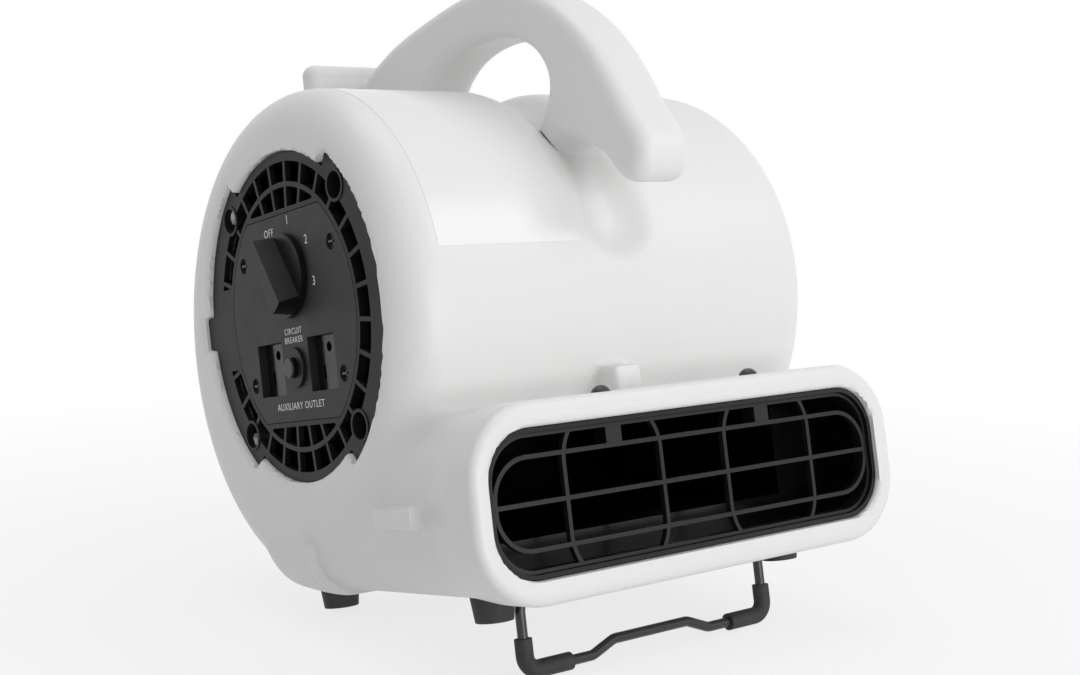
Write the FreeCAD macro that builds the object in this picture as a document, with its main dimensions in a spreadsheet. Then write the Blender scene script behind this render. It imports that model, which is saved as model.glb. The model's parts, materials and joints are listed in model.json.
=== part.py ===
"""Portable air mover: a blower drum with a mouth, a carrying handle and a wire kickstand.

Everything is first laid out about the wheel: the origin is on the wheel's axis at the middle of
the drum, X runs along that axis, the mouth faces -Y and Z points up through the handle. The
control side is at -X. The finished pieces are then stood on their kickstand and rear feet.
"""
import FreeCAD, Part
import Sketcher
import math
import os
import re
from types import SimpleNamespace

from FreeCAD import Placement, Rotation, Vector

doc = FreeCAD.newDocument("AirMover")

# ---------------------------------------------------------------------------------------------
# Driving sizes, in millimetres and degrees
# ---------------------------------------------------------------------------------------------
SIZES = {
    # shell
    "half_width": 129.0,
    "drum_radius": 113.0,
    "drum_y": 3.0,
    "scroll_growth": 12.5,
    "drum_round": 22.0,
    "shell_wall": 3.0,
    "base_inset": 4.0,
    "base_top": -57.5,
    "base_rear": 50.0,
    "base_round": 22.0,
    "flare_start": -109.5,
    # mouth
    "mouth_face": 148.5,
    "mouth_drop": 97.4,
    "mouth_high": 88.5,
    "mouth_round": 34.0,
    "mouth_rim": 11.4,
    "mouth_side_rim": 9.5,
    "mouth_depth": 18.5,
    "mouth_hole_round": 23.0,
    # inlets
    "inlet_radius": 90.0,
    "seat_depth": 6.0,
    "ledge_wide": 6.0,
    "ledge_thick": 3.0,
    "lip_wide": 8.0,
    "lip_half_angle": 34.0,
    "notch_wide": 18.0,
    "notch_reach": 97.0,
    "well_offset": 56.5,
    "well_radius": 8.0,
    "well_bore": 6.5,
    "well_deep": 8.0,
    # groove under the handle
    "groove_depth": 8.0,
    "groove_radius": 24.0,
    "groove_front": 75.0,
    "groove_rear": 20.0,
    # handle
    "handle_wide": 33.0,
    "handle_round": 8.0,
    "hook_wide": 94.0,
    "hook_round": 6.0,
    # lining
    "lining_gap": 0.4,
    "lining_wall": 2.0,
    "lining_half": 104.0,
    "lining_radius": 100.0,
    "lining_growth": 10.0,
    "lining_inlet": 70.0,
    "lining_setback": 3.0,
    # outlet grille
    "bar_wide": 2.0,
    "bar_deep": 3.0,
    "grille_setback": 5.0,
    "hoop_half_wide": 115.5,
    "hoop_half_high": 21.2,
    "hoop_round": 19.0,
    "oval_offset": 48.0,
    "oval_half_wide": 29.0,
    "oval_half_high": 40.0,
    "oval_round": 24.0,
    # inlet grilles
    "grille_thick": 3.0,
    "fit_gap": 0.4,
    "rib_wide": 2.2,
    "rib_count": 28.0,
    "slots_inner": 67.0,
    "slots_outer": 77.0,
    # control panel
    "panel_radius": 64.0,
    "panel_flat": 51.3,
    "panel_screw_y": 46.8,
    "panel_screw_z": 31.3,
    "knob_z": 20.6,
    "knob_radius": 21.0,
    "knob_disc": 3.0,
    "knob_height": 13.0,
    "shaft_radius": 3.0,
    "socket_y": 27.0,
    "socket_z": -24.5,
    "socket_wide": 26.7,
    "socket_recess": 4.4,
    "breaker_z": -25.0,
    "breaker_radius": 10.0,
    "button_radius": 4.9,
    "button_travel": 2.5,
    # wheel and motor
    "wheel_radius": 75.0,
    "wheel_half": 75.0,
    "blade_inner": 62.0,
    "blade_count": 36.0,
    "blade_thick": 1.2,
    "motor_radius": 42.0,
    "motor_start": 20.0,
    "motor_shaft": 4.0,
    "running_gap": 0.05,
    # feet
    "foot_x": 91.0,
    "foot_front": -98.0,
    "foot_rear": 45.0,
    "foot_high": 13.0,
    "foot_top": 10.5,
    "foot_bottom": 9.0,
    # kickstand
    "stand_y": -97.0,
    "stand_drop": 5.0,
    "stand_leg": 34.0,
    "stand_half": 76.0,
    "wire_radius": 2.5,
    "sleeve_radius": 4.25,
    "sleeve_reach": 25.3,
    "sleeve_rise": 15.0,
    "stand_bend": 7.0,
    "clip_x": 63.5,
    "clip_wide": 9.0,
    # screws
    "screw_radius": 1.9,
    "head_radius": 4.0,
    "head_high": 2.6,
}

sheet = doc.addObject("Spreadsheet::Sheet", "Sizes")
for row, (word, number) in enumerate(SIZES.items(), start=1):
    sheet.set(f"A{row}", word)
    sheet.set(f"B{row}", repr(number))
    sheet.setAlias(f"B{row}", word)
doc.recompute()
size = SimpleNamespace(**{word: float(sheet.get(word)) for word in SIZES})

WORD = re.compile(r"[a-z][a-z_]+")


def linked(rule):
    """Turn a rule written with bare size names into an expression on the sheet."""
    return WORD.sub(lambda found: f"Sizes.{found[0]}" if found[0] in SIZES else found[0], str(rule))


def bind(item, **rules):
    """Bind properties of a document object to the sheet."""
    for name, rule in rules.items():
        item.setExpression(name, linked(rule))


def put(item, x, y, z, turn=None):
    """Turn an object, then bind its place to the sheet."""
    if turn is not None:
        item.Placement = Placement(Vector(), turn)
    for letter, rule in zip("xyz", (x, y, z)):
        item.setExpression(f".Placement.Base.{letter}", linked(rule))
    return item


# ---------------------------------------------------------------------------------------------
# Short makers for primitives and booleans
# ---------------------------------------------------------------------------------------------
ALONG_X = Rotation(Vector(0, 1, 0), 90)
ALONG_Z = Rotation()


def box(name, x, y, z, long, wide, high):
    """Box with its lowest corner at x, y, z."""
    item = doc.addObject("Part::Box", name)
    bind(item, Length=long, Width=wide, Height=high)
    return put(item, x, y, z)


def rod(name, radius, long, x="0", y="0", z="0", turn=ALONG_X):
    """Cylinder from x, y, z along the turned Z axis, which is +X when no turn is given."""
    item = doc.addObject("Part::Cylinder", name)
    bind(item, Radius=radius, Height=long)
    return put(item, x, y, z, turn)


def ball(name, radius, x, y, z):
    """Sphere about x, y, z."""
    item = doc.addObject("Part::Sphere", name)
    bind(item, Radius=radius)
    return put(item, x, y, z)


def fuse(name, items):
    """Join shapes into one solid."""
    item = doc.addObject("Part::MultiFuse", name)
    item.Shapes = list(items)
    item.Refine = True
    return item


def cut(name, base, tool):
    """Take one shape out of another."""
    item = doc.addObject("Part::Cut", name)
    item.Base = base
    item.Tool = tool
    return item


def common(name, items):
    """Keep what all shapes share."""
    item = doc.addObject("Part::MultiCommon", name)
    item.Shapes = list(items)
    return item


def group(name, items):
    """Keep separate solids together as one sub-part."""
    item = doc.addObject("Part::Compound", name)
    item.Links = list(items)
    return item


def mirror(name, source):
    """Reflect a shape to the other side of the middle plane."""
    item = doc.addObject("Part::Mirroring", name)
    item.Source = source
    item.Normal = Vector(1, 0, 0)
    return item


def tube(name, outer, inner, long, x, y="0", z="0"):
    """Ring along X between two radii."""
    return cut(name, rod(f"{name}Outer", outer, long, x, y, z), rod(f"{name}Inner", inner, long, x, y, z))


def rounded(name, source, radius, chosen):
    """Round the edges of a shape that the chosen test accepts."""
    doc.recompute()
    item = doc.addObject("Part::Fillet", name)
    item.Base = source
    item.Edges = [(number, radius, radius)
                  for number, edge in enumerate(source.Shape.Edges, start=1) if chosen(edge)]
    return item


def runs_along(direction):
    """Test for straight edges along a direction."""
    def chosen(edge):
        if not isinstance(edge.Curve, (Part.Line, Part.LineSegment)):
            return False
        return abs(abs(edge.tangentAt(edge.FirstParameter).dot(direction)) - 1) < 1e-6
    return chosen


def is_round(edge):
    """Test for full circles."""
    return isinstance(edge.Curve, Part.Circle)


def slab(name, half_x, front, rear, low, high, radius):
    """Block along Y with rounded long edges, centred on the middle plane."""
    raw = box(f"{name}Raw", f"-({half_x})", front, low, f"2*({half_x})", f"({rear})-({front})",
              f"({high})-({low})")
    return rounded(name, raw, radius, runs_along(Vector(0, 1, 0)))


def plain(name, shape):
    """Keep a shape that was worked out from the sheet's sizes."""
    item = doc.addObject("Part::Feature", name)
    item.Shape = shape
    return item


PARTS = []


def part(label, item):
    """Mark an object as a finished sub-part and give it its label."""
    item.Label = label
    PARTS.append(item)
    return item


# ---------------------------------------------------------------------------------------------
# Shell: drum, base, mouth
# ---------------------------------------------------------------------------------------------
def drum(name, inset):
    """Drum and growing rear scroll, moved inwards by a wall."""
    front_raw = rod(f"{name}FrontRaw", f"drum_radius-{inset}", f"2*(half_width-{inset})",
                    f"-(half_width-{inset})", "drum_y", "0")
    front_round = rounded(f"{name}FrontRound", front_raw, size.drum_round - inset_of(inset), is_round)
    front_side = box(f"{name}FrontSide", "-2*half_width", "drum_y-2*drum_radius", "-2*drum_radius",
                     "4*half_width", "2*drum_radius", "4*drum_radius")
    rear_raw = rod(f"{name}RearRaw", f"drum_radius+scroll_growth-{inset}", f"2*(half_width-{inset})",
                   f"-(half_width-{inset})", "drum_y", "-scroll_growth")
    rear_round = rounded(f"{name}RearRound", rear_raw, size.drum_round - inset_of(inset), is_round)
    rear_side = box(f"{name}RearSide", "-2*half_width", "drum_y", "-2*drum_radius",
                    "4*half_width", "2*drum_radius", "4*drum_radius")
    front = common(f"{name}Front", [front_round, front_side])
    rear = common(f"{name}Rear", [rear_round, rear_side])
    return [front, rear]


def inset_of(rule):
    """Number that an inset rule stands for."""
    return size.shell_wall if rule == "shell_wall" else 0.0


BASE_LOW = "-(drum_radius+scroll_growth)-scroll_growth"
MOUTH_LOW = "-mouth_drop-mouth_high/2"
MOUTH_HIGH = "-mouth_drop+mouth_high/2"
base_low = -(size.drum_radius + 2 * size.scroll_growth)
mouth_hole_half = size.half_width - size.mouth_side_rim
mouth_hole_high = size.mouth_high / 2 - size.mouth_rim


def rounded_loop(half_x, low, high, radius, y):
    """Closed rounded rectangle in a plane of constant y."""
    corners = [(half_x - radius, low + radius, -90), (half_x - radius, high - radius, 0),
               (radius - half_x, high - radius, 90), (radius - half_x, low + radius, 180)]
    edges = []
    for number, (x, z, turn) in enumerate(corners):
        points = []
        for step in (0, 45, 90):
            angle = math.radians(turn + step)
            points.append(Vector(x + radius * math.cos(angle), y, z + radius * math.sin(angle)))
        if edges:
            edges.append(Part.makeLine(edges[-1].Vertexes[-1].Point, points[0]))
        edges.append(Part.Arc(*points).toShape())
    edges.append(Part.makeLine(edges[-1].Vertexes[-1].Point, edges[0].Vertexes[0].Point))
    return Part.Wire(edges)


def flare(name, inset):
    """Mouth's neck, which widens from the base to the mouth."""
    near = rounded_loop(size.half_width - size.base_inset - inset, base_low + inset,
                        size.base_top - inset, size.base_round - inset, size.flare_start)
    far = rounded_loop(size.half_width - inset, -size.mouth_drop - size.mouth_high / 2 + inset,
                       -size.mouth_drop + size.mouth_high / 2 - inset, size.mouth_round - inset,
                       -size.mouth_face + size.mouth_depth)
    return plain(name, Part.makeLoft([near, far], True, True))


base = slab("Base", "half_width-base_inset", "flare_start", "base_rear", BASE_LOW, "base_top",
            size.base_round)
mouth = slab("Mouth", "half_width", "-mouth_face", "-mouth_face+mouth_depth", MOUTH_LOW, MOUTH_HIGH,
             size.mouth_round)
top_lug = box("TopLug", "-8", "flare_start-12", "base_top-4", "16", "22", "20")
lug_face = Part.Face(Part.makePolygon([Vector(-size.half_width + size.base_inset + 2, -66, 0),
                                       Vector(-size.half_width - 5, -101, 0),
                                       Vector(-size.half_width - 5, -105, 0),
                                       Vector(-size.half_width + size.base_inset + 2, -105, 0),
                                       Vector(-size.half_width + size.base_inset + 2, -66, 0)]))
lug_face.translate(Vector(0, 0, -size.mouth_drop - 6.6))
left_lug = plain("LeftLug", lug_face.extrude(Vector(0, 0, 10)))
right_lug = mirror("RightLug", left_lug)


def groove(name, grow):
    """Saddle under the handle: part of a ring, with a rounded front end."""
    ring = doc.addObject("Part::Torus", f"{name}Ring")
    bind(ring, Radius1="drum_radius-groove_depth+groove_radius", Radius2=f"groove_radius+{grow}",
         Angle3="groove_front+groove_rear")
    # the ring starts at the rear end and runs over the top to the front
    upright = Rotation(Vector(0, 0, 1), Vector(0, -1, 0), Vector(1, 0, 0), "XYZ")
    put(ring, "0", "drum_y", "0", Rotation(Vector(1, 0, 0), -size.groove_rear).multiply(upright))
    reach = size.drum_radius - size.groove_depth + size.groove_radius
    ends = []
    for word, angle in (("Front", -size.groove_front), ("Rear", size.groove_rear)):
        end = ball(f"{name}{word}", f"groove_radius+{grow}", "0",
                   f"drum_y+{reach * math.sin(math.radians(angle))}",
                   f"{reach * math.cos(math.radians(angle))}")
        ends.append(end)
    return fuse(name, [ring, *ends])


shell_solid = cut("ShellSolid",
                  fuse("ShellBody", [*drum("Outer", "0"), base, flare("Neck", 0), mouth,
                                     top_lug, left_lug, right_lug]),
                  groove("Groove", "0"))

# hollow of the shell; the groove keeps its wall
neck_hollow = flare("NeckHollow", size.shell_wall)
base_hollow = slab("BaseHollow", "half_width-base_inset-shell_wall", "flare_start", "base_rear-shell_wall",
                   f"{BASE_LOW}+shell_wall", "base_top-shell_wall", size.base_round - size.shell_wall)
mouth_hole = slab("MouthHole", mouth_hole_half, "-mouth_face-1", "-mouth_face+mouth_depth+1",
                  -size.mouth_drop - mouth_hole_high, -size.mouth_drop + mouth_hole_high,
                  size.mouth_hole_round)
hollow = cut("Hollow",
             fuse("HollowBody", [*drum("Inner", "shell_wall"), base_hollow, neck_hollow, mouth_hole]),
             groove("GrooveWall", "shell_wall"))

WELLS = [(y, z) for y in (-size.well_offset, size.well_offset) for z in (-size.well_offset, size.well_offset)]
seat_x = size.half_width - size.seat_depth
post_x = seat_x - size.well_deep
POST_LONG = 10


def sector(name, outer, inner, start, long, middle, half):
    """Part of a ring along X; the middle angle runs from -Z towards +Y."""
    turn = ALONG_X.multiply(Rotation(Vector(0, 0, 1), middle - half))
    wedge = rod(f"{name}Wedge", outer, long, start, "0", "0", turn)
    wedge.Angle = 2 * half
    return cut(name, wedge, rod(f"{name}Core", inner, long, start))


def web(number, y, z):
    """Web that ties one screw post to the collar."""
    near = size.inlet_radius - size.ledge_wide
    plate = Part.makeBox(seat_x - post_x + POST_LONG - 2, 6, 13, Vector(2 - seat_x, -3, near))
    plate.rotate(Vector(), Vector(1, 0, 0), -math.degrees(math.atan2(y, z)))
    return plain(f"Web{number}", plate)


def inlet_seat():
    """Collar, lips and screw posts that carry the control side's grille."""
    parts = [tube("Collar", "inlet_radius+ledge_wide", "inlet_radius-ledge_wide",
                  "seat_depth+ledge_thick-1", "-half_width+1")]
    for number, (y, z) in enumerate(WELLS):
        parts.append(rod(f"Post{number}", "well_radius-1", POST_LONG, -post_x, y, z))
        parts.append(web(number, y, z))
    return parts


def inlet_cuts():
    """Recess for the grille, its way through, the notch and the screw holes."""
    cuts = [rod("Recess", "inlet_radius", "seat_depth+1", "-half_width-1"),
            rod("Way", "inlet_radius-ledge_wide", "seat_depth+ledge_thick+2", "-half_width-1"),
            box("Notch", "-half_width-1", "inlet_radius-4", "-notch_wide/2", "seat_depth+1",
                "notch_reach-inlet_radius+4", "notch_wide")]
    for number, (y, z) in enumerate(WELLS):
        cuts.append(rod(f"WellRoom{number}", "well_radius+fit_gap", "well_deep+seat_depth", "-half_width", y, z))
    return cuts


def lips():
    """Raised ends of the rim that reach over the grille at its top and bottom."""
    return [sector(f"Lip{word}", "inlet_radius+0.5", "inlet_radius-lip_wide", "-half_width",
                   "seat_depth", middle, size.lip_half_angle)
            for word, middle in (("Top", 180), ("Bottom", 0))]


def both_sides(name, items):
    """One shape and its mirror image."""
    one = fuse(name, items)
    return [one, mirror(f"{name}Mirror", one)]


def post_holes(side):
    """Screw holes down the four posts of one side."""
    start = -post_x - 0.5 if side < 0 else post_x - POST_LONG
    return [rod(f"PostHole{side}{number}".replace("-", "L"), "screw_radius+running_gap", POST_LONG + 0.5,
                start, y, z) for number, (y, z) in enumerate(WELLS)]


# feet, clips and handle screws meet the shell in these places
FEET = {"front_left": (-1, "foot_front"), "front_right": (1, "foot_front"),
        "rear_left": (-1, "foot_rear"), "rear_right": (1, "foot_rear")}
CLIP_SCREW_Y = 8.5
BOSS_HIGH = 6.3
CLIPS = {"left": -1, "right": 1}
MOUTH_SCREW_X = 46.2
MOUTH_SCREW_Y = -137.0
HANDLE_SCREWS = (-43.5, 30.0, 45.0)


def hub_of(angle):
    """Centre of the drum's front or rear round, whichever the angle from +Z meets."""
    return Vector(0, size.drum_y, -size.scroll_growth if angle > 0 else 0)


def wall_inside(angle):
    """Distance from that centre to the inside of the shell under the handle."""
    if angle > 0:
        return size.drum_radius + size.scroll_growth - size.shell_wall
    return size.drum_radius - size.groove_depth - size.shell_wall


def radial_rod(name, radius, near, far, angle, x=0.0):
    """Cylinder square to the drum's wall."""
    turn = math.radians(angle)
    out = Vector(0, math.sin(turn), math.cos(turn))
    foot = hub_of(angle) + out * near + Vector(x, 0, 0)
    return rod(name, radius, far - near, foot.x, foot.y, foot.z, Rotation(Vector(0, 0, 1), out))


bosses = []
boss_holes = []
for word, (side, y) in FEET.items():
    bosses.append(rod(f"FootBoss_{word}", "7", BOSS_HIGH, f"{side}*foot_x", y, f"{BASE_LOW}+1", ALONG_Z))
    boss_holes.append(rod(f"FootHole_{word}", "screw_radius+running_gap", BOSS_HIGH + 1.5,
                          f"{side}*foot_x", y, f"{BASE_LOW}-1", ALONG_Z))
for word, side in CLIPS.items():
    for end in (-1, 1):
        y = f"stand_y+{end * CLIP_SCREW_Y}"
        tag = f"{word}{'Front' if end < 0 else 'Rear'}"
        bosses.append(rod(f"ClipBoss{tag}", "4.5", BOSS_HIGH, f"{side}*clip_x", y, f"{BASE_LOW}+1", ALONG_Z))
        boss_holes.append(rod(f"ClipHole{tag}", "screw_radius+running_gap", BOSS_HIGH + 1.5,
                              f"{side}*clip_x", y, f"{BASE_LOW}-1", ALONG_Z))
for side in (-1, 1):
    boss_holes.append(rod(f"MouthScrewHole{'L' if side < 0 else 'R'}", "screw_radius+0.3", "mouth_rim+2",
                          side * MOUTH_SCREW_X, MOUTH_SCREW_Y, f"{MOUTH_HIGH}-mouth_rim-1", ALONG_Z))
for number, angle in enumerate(HANDLE_SCREWS):
    near = wall_inside(angle)
    boss_holes.append(radial_rod(f"HandleHole{number}", "screw_radius+running_gap", near - 2, near + 8, angle))
CORD_ANGLE = 95.0
CORD_X = -85.0
cord_wall = size.drum_radius + size.scroll_growth


def cord_rod(name, radius, near, far):
    """Cylinder on the cord inlet's line, measured from the outside of the drum's wall."""
    return radial_rod(name, radius, cord_wall + near, cord_wall + far, CORD_ANGLE, CORD_X)


shell_walls = cut("ShellWalls", shell_solid, hollow)
shell_full = fuse("ShellFull", [shell_walls, *both_sides("Seat", inlet_seat()), *bosses])
shell_open = cut("ShellOpen", shell_full, fuse("ShellCuts", [*both_sides("InletCuts", inlet_cuts()),
                                                             *post_holes(-1), *post_holes(1), *boss_holes,
                                                             cord_rod("CordHole", "6.3", -8, 8)]))
part("housing", fuse("Housing", [shell_open, *both_sides("Lips", lips())]))

# ---------------------------------------------------------------------------------------------
# Carrying handle, with its front horn and the cord hook behind it
# ---------------------------------------------------------------------------------------------
# (y, height above the drum's top line) of the grip's two long edges, from the rear foot forwards
OUTER_LINE = [(104, -67), (109, -31), (108, 5), (98, 25), (80, 35), (49, 43.5), (16, 48), (-20, 50.5),
              (-62, 43), (-100, 21), (-126, -10), (-142, -39), (-149.5, -59), (-142, -70), (-129, -67),
              (-120, -56), (-104, -46), (-88, -41), (-76, -49)]
INNER_LINE = [(-62, -39), (-75, -25), (-82, -10), (-78, 1), (-63, 14), (-46, 20), (-28, 22.5), (-9, 22),
              (12, 16.5), (25, 8), (36, -13)]


def on_left_face(point):
    """Place of an outline's point on the handle's left face."""
    y, above_drum = point
    return Vector(-size.handle_wide / 2, y, size.drum_radius + above_drum)


def smooth(points):
    """Smooth edge through an outline's points on the handle's left face."""
    curve = Part.BSplineCurve()
    curve.interpolate([on_left_face(point) for point in points])
    return curve.toShape()


def join(start, end):
    """Straight edge between two of the outlines' points."""
    return Part.makeLine(on_left_face(start), on_left_face(end))


outline = plain("HandleOutline", Part.Wire([smooth(OUTER_LINE), join(OUTER_LINE[-1], INNER_LINE[0]),
                                            smooth(INNER_LINE), join(INNER_LINE[-1], OUTER_LINE[0])]))
grip_raw = doc.addObject("Part::Extrusion", "GripRaw")
grip_raw.Base = outline
grip_raw.Dir = Vector(1, 0, 0)
grip_raw.Solid = True
bind(grip_raw, LengthFwd="handle_wide")


def is_outline(edge):
    """Test for the long curved edges of the grip's two faces."""
    return isinstance(edge.Curve, Part.BSplineCurve) and edge.BoundBox.XLength < 0.01


grip = rounded("Grip", grip_raw, size.handle_round, is_outline)
HOOK_FRONT = 97.0
HOOK_THICK = 14.0
HOOK_TOP = size.drum_radius + 40
HOOK_LOW = size.drum_radius + 14
hook_raw = box("HookRaw", "-hook_wide/2", HOOK_FRONT, HOOK_LOW, "hook_wide", HOOK_THICK, HOOK_TOP - HOOK_LOW)
hook = rounded("Hook", hook_raw, size.hook_round, lambda edge: True)
handle_raw = cut("HandleRaw", fuse("HandleBody", [grip, hook]), shell_solid)
handle_holes = [radial_rod(f"HandlePilot{number}", "screw_radius+running_gap", wall_inside(angle),
                           wall_inside(angle) + 20, angle)
                for number, angle in enumerate(HANDLE_SCREWS)]
part("handle", cut("Handle", handle_raw, fuse("HandlePilots", handle_holes)))
screws = []
for number, angle in enumerate(HANDLE_SCREWS):
    near = wall_inside(angle) - 0.1
    head = radial_rod(f"HandleScrewHead{number}", "head_radius", near - 1.4, near, angle)
    shank = radial_rod(f"HandleScrewShank{number}", "screw_radius", near - 0.2, near + 18, angle)
    screws.append(fuse(f"HandleScrew{number}", [head, shank]))
part("handle_screws", group("HandleScrews", screws))

# ---------------------------------------------------------------------------------------------
# Scroll lining: the duct that runs round the wheel and out to the mouth
# ---------------------------------------------------------------------------------------------
def lining(name, inset):
    """Outer or inner form of the scroll lining."""
    half = f"(lining_half-{inset})"
    front = common(f"{name}Front", [
        rod(f"{name}FrontRod", f"lining_radius-{inset}", f"2*{half}", f"-{half}", "drum_y", "0"),
        box(f"{name}FrontSide", f"-{half}", "drum_y-lining_radius", "-lining_radius", f"2*{half}",
            "lining_radius", "2*lining_radius")])
    rear = common(f"{name}Rear", [
        rod(f"{name}RearRod", f"lining_radius+lining_growth-{inset}", f"2*{half}", f"-{half}", "drum_y",
            "-lining_growth"),
        box(f"{name}RearSide", f"-{half}", "drum_y", "-2*lining_radius", f"2*{half}",
            "2*lining_radius", "4*lining_radius")])
    low = -size.lining_radius - 2 * size.lining_growth
    high = -size.mouth_drop + mouth_hole_high - size.lining_gap
    wall = size.lining_wall if inset == "lining_wall" else 0.0
    middle = box(f"{name}Middle", f"-{half}", -98 + wall, low + wall, f"2*{half}", 101 - wall,
                 high - low - 2 * wall)
    duct = slab(f"{name}Duct", mouth_hole_half - size.lining_gap - wall, -size.mouth_face + size.lining_setback
                - (1 if wall else 0), -90 - wall, -size.mouth_drop - mouth_hole_high + size.lining_gap + wall,
                high - wall, size.mouth_hole_round - size.lining_gap - wall)
    return fuse(name, [front, rear, middle, duct])


lining_raw = cut("LiningRaw", lining("LiningOuter", "0"), lining("LiningInner", "lining_wall"))
lining_cuts = [rod("LiningInlets", "lining_inlet", "4*lining_half", "-2*lining_half", "0")]
for side in (-1, 1):
    lining_cuts.append(rod(f"LiningScrewHole{'L' if side < 0 else 'R'}", "screw_radius+0.3", "8",
                           side * MOUTH_SCREW_X, MOUTH_SCREW_Y, f"{MOUTH_HIGH}-mouth_rim-6", ALONG_Z))
BRACKET_ANGLES = (0, 120, 240)
BRACKET_REACH = 80.0


def around(angle, radius):
    """(y, z) place on a circle about the wheel's axis, the angle from +Y towards +Z."""
    turn = math.radians(angle)
    return radius * math.cos(turn), radius * math.sin(turn)


for number, angle in enumerate(BRACKET_ANGLES):
    lining_cuts.append(rod(f"LiningBracketHole{number}", "screw_radius+running_gap", "lining_wall+2",
                           "lining_half-lining_wall-1", *around(angle, BRACKET_REACH)))
part("scroll_lining", cut("ScrollLining", lining_raw, fuse("LiningCuts", lining_cuts)))

# ---------------------------------------------------------------------------------------------
# Grille in the mouth and its two screws
# ---------------------------------------------------------------------------------------------
GRILLE_RIM = 1.6
GRILLE_DEEP = 8.0
grille_half = mouth_hole_half - size.lining_gap - size.lining_wall - 0.25
grille_high = mouth_hole_high - size.lining_gap - size.lining_wall - 0.25
grille_round = size.mouth_hole_round - size.lining_gap - size.lining_wall
grille_front = -size.mouth_face + size.grille_setback


def hoop(name, middle, half_x, half_z, radius, thick, deep):
    """Rounded ring in the mouth, measured to its outside."""
    rings = []
    for word, less in (("Out", 0), ("In", thick)):
        ring = slab(f"{name}{word}", half_x - less, grille_front, grille_front + deep,
                    -size.mouth_drop - half_z + less, -size.mouth_drop + half_z - less, radius - less)
        rings.append(ring)
    item = cut(name, *rings)
    item.Placement = Placement(Vector(middle, 0, 0), Rotation())
    return item


rim = hoop("GrilleRim", 0, grille_half, grille_high, grille_round, GRILLE_RIM, GRILLE_DEEP)
racetrack = hoop("GrilleRacetrack", 0, size.hoop_half_wide, size.hoop_half_high, size.hoop_round,
                 size.bar_wide, size.bar_deep)
ovals = [hoop(f"GrilleOval{word}", side * size.oval_offset, size.oval_half_wide, size.oval_half_high,
              size.oval_round, size.bar_wide, size.bar_deep) for word, side in (("Left", -1), ("Right", 1))]
middle_bar = box("GrilleMiddleBar", -grille_half, grille_front, "-mouth_drop-bar_wide/2",
                 2 * grille_half, "bar_deep", "bar_wide")
window = slab("GrilleWindow", grille_half, grille_front - 1, grille_front + GRILLE_DEEP + 1,
              -size.mouth_drop - grille_high, -size.mouth_drop + grille_high, grille_round)
bars = common("GrilleBars", [fuse("GrilleBarsRaw", [racetrack, *ovals, middle_bar]), window])
ears = []
ear_holes = []
mouth_screws = []
ear_top = -size.mouth_drop + grille_high
for word, side in CLIPS.items():
    ears.append(box(f"GrilleEar{word}", side * MOUTH_SCREW_X - 4.5, MOUTH_SCREW_Y - 6, ear_top - 9, "9", "9", "9"))
    ear_holes.append(rod(f"GrilleEarHole{word}", "screw_radius+running_gap", "11", side * MOUTH_SCREW_X,
                         MOUTH_SCREW_Y, ear_top - 10, ALONG_Z))
    head = ball(f"MouthHeadBall{word}", "5", side * MOUTH_SCREW_X, MOUTH_SCREW_Y, f"{MOUTH_HIGH}-1.8")
    cap = rod(f"MouthHeadCap{word}", "4.4", "6", side * MOUTH_SCREW_X, MOUTH_SCREW_Y, MOUTH_HIGH, ALONG_Z)
    shank = rod(f"MouthShank{word}", "screw_radius", "mouth_rim+12", side * MOUTH_SCREW_X, MOUTH_SCREW_Y,
                f"{MOUTH_HIGH}-mouth_rim-11.5", ALONG_Z)
    mouth_screws.append(fuse(f"MouthScrew{word}", [common(f"MouthHead{word}", [head, cap]), shank]))
part("outlet_grille", cut("OutletGrille", fuse("OutletGrilleBody", [bars, rim, *ears]),
                          fuse("EarHoles", ear_holes)))
part("outlet_grille_screws", group("OutletGrilleScrews", mouth_screws))

# ---------------------------------------------------------------------------------------------
# Inlet grilles
# ---------------------------------------------------------------------------------------------
face_x = size.half_width - size.seat_depth + size.grille_thick


def ribs(name, count, inner, outer):
    """Radial bars of an inlet grille, which a ring of slots leaves standing."""
    bars_made = []
    for number in range(int(count)):
        bar = Part.makeBox(size.grille_thick + 2, size.rib_wide, outer - inner,
                           Vector(-face_x - 1, -size.rib_wide / 2, inner))
        bar.rotate(Vector(), Vector(1, 0, 0), 360.0 * (number + 0.5) / count)
        bars_made.append(bar)
    return plain(name, Part.makeCompound(bars_made))


def slot_ring(name, inner, outer, count):
    """Ring of slots that goes right through an inlet grille."""
    ring = tube(f"{name}Ring", outer, inner, "grille_thick+1", -face_x - 0.5)
    return cut(name, ring, ribs(f"{name}Ribs", count, inner - 3, outer + 3))


def grille_disc(name):
    """Round plate with room for the lips."""
    disc = rod(f"{name}Disc", "inlet_radius-fit_gap", "grille_thick", -face_x)
    gaps = [sector(f"{name}Gap{word}", "inlet_radius+2", "inlet_radius-lip_wide-fit_gap", "-half_width",
                   "seat_depth+1", middle, size.lip_half_angle + 0.5)
            for word, middle in (("Top", 180), ("Bottom", 0))]
    return cut(f"{name}Plate", disc, fuse(f"{name}Gaps", gaps))


def wells(name):
    """Four screw wells and their bores."""
    cups = []
    bores = []
    for number, (y, z) in enumerate(WELLS):
        cups.append(rod(f"{name}Cup{number}", "well_radius", "well_deep+grille_thick+0.5", -face_x - 0.5, y, z))
        bores.append(rod(f"{name}Bore{number}", "well_bore", "well_deep+grille_thick-2", -face_x - 1, y, z))
        bores.append(rod(f"{name}Hole{number}", "screw_radius+0.3", "30", -face_x - 1, y, z))
    return cups, bores


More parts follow.
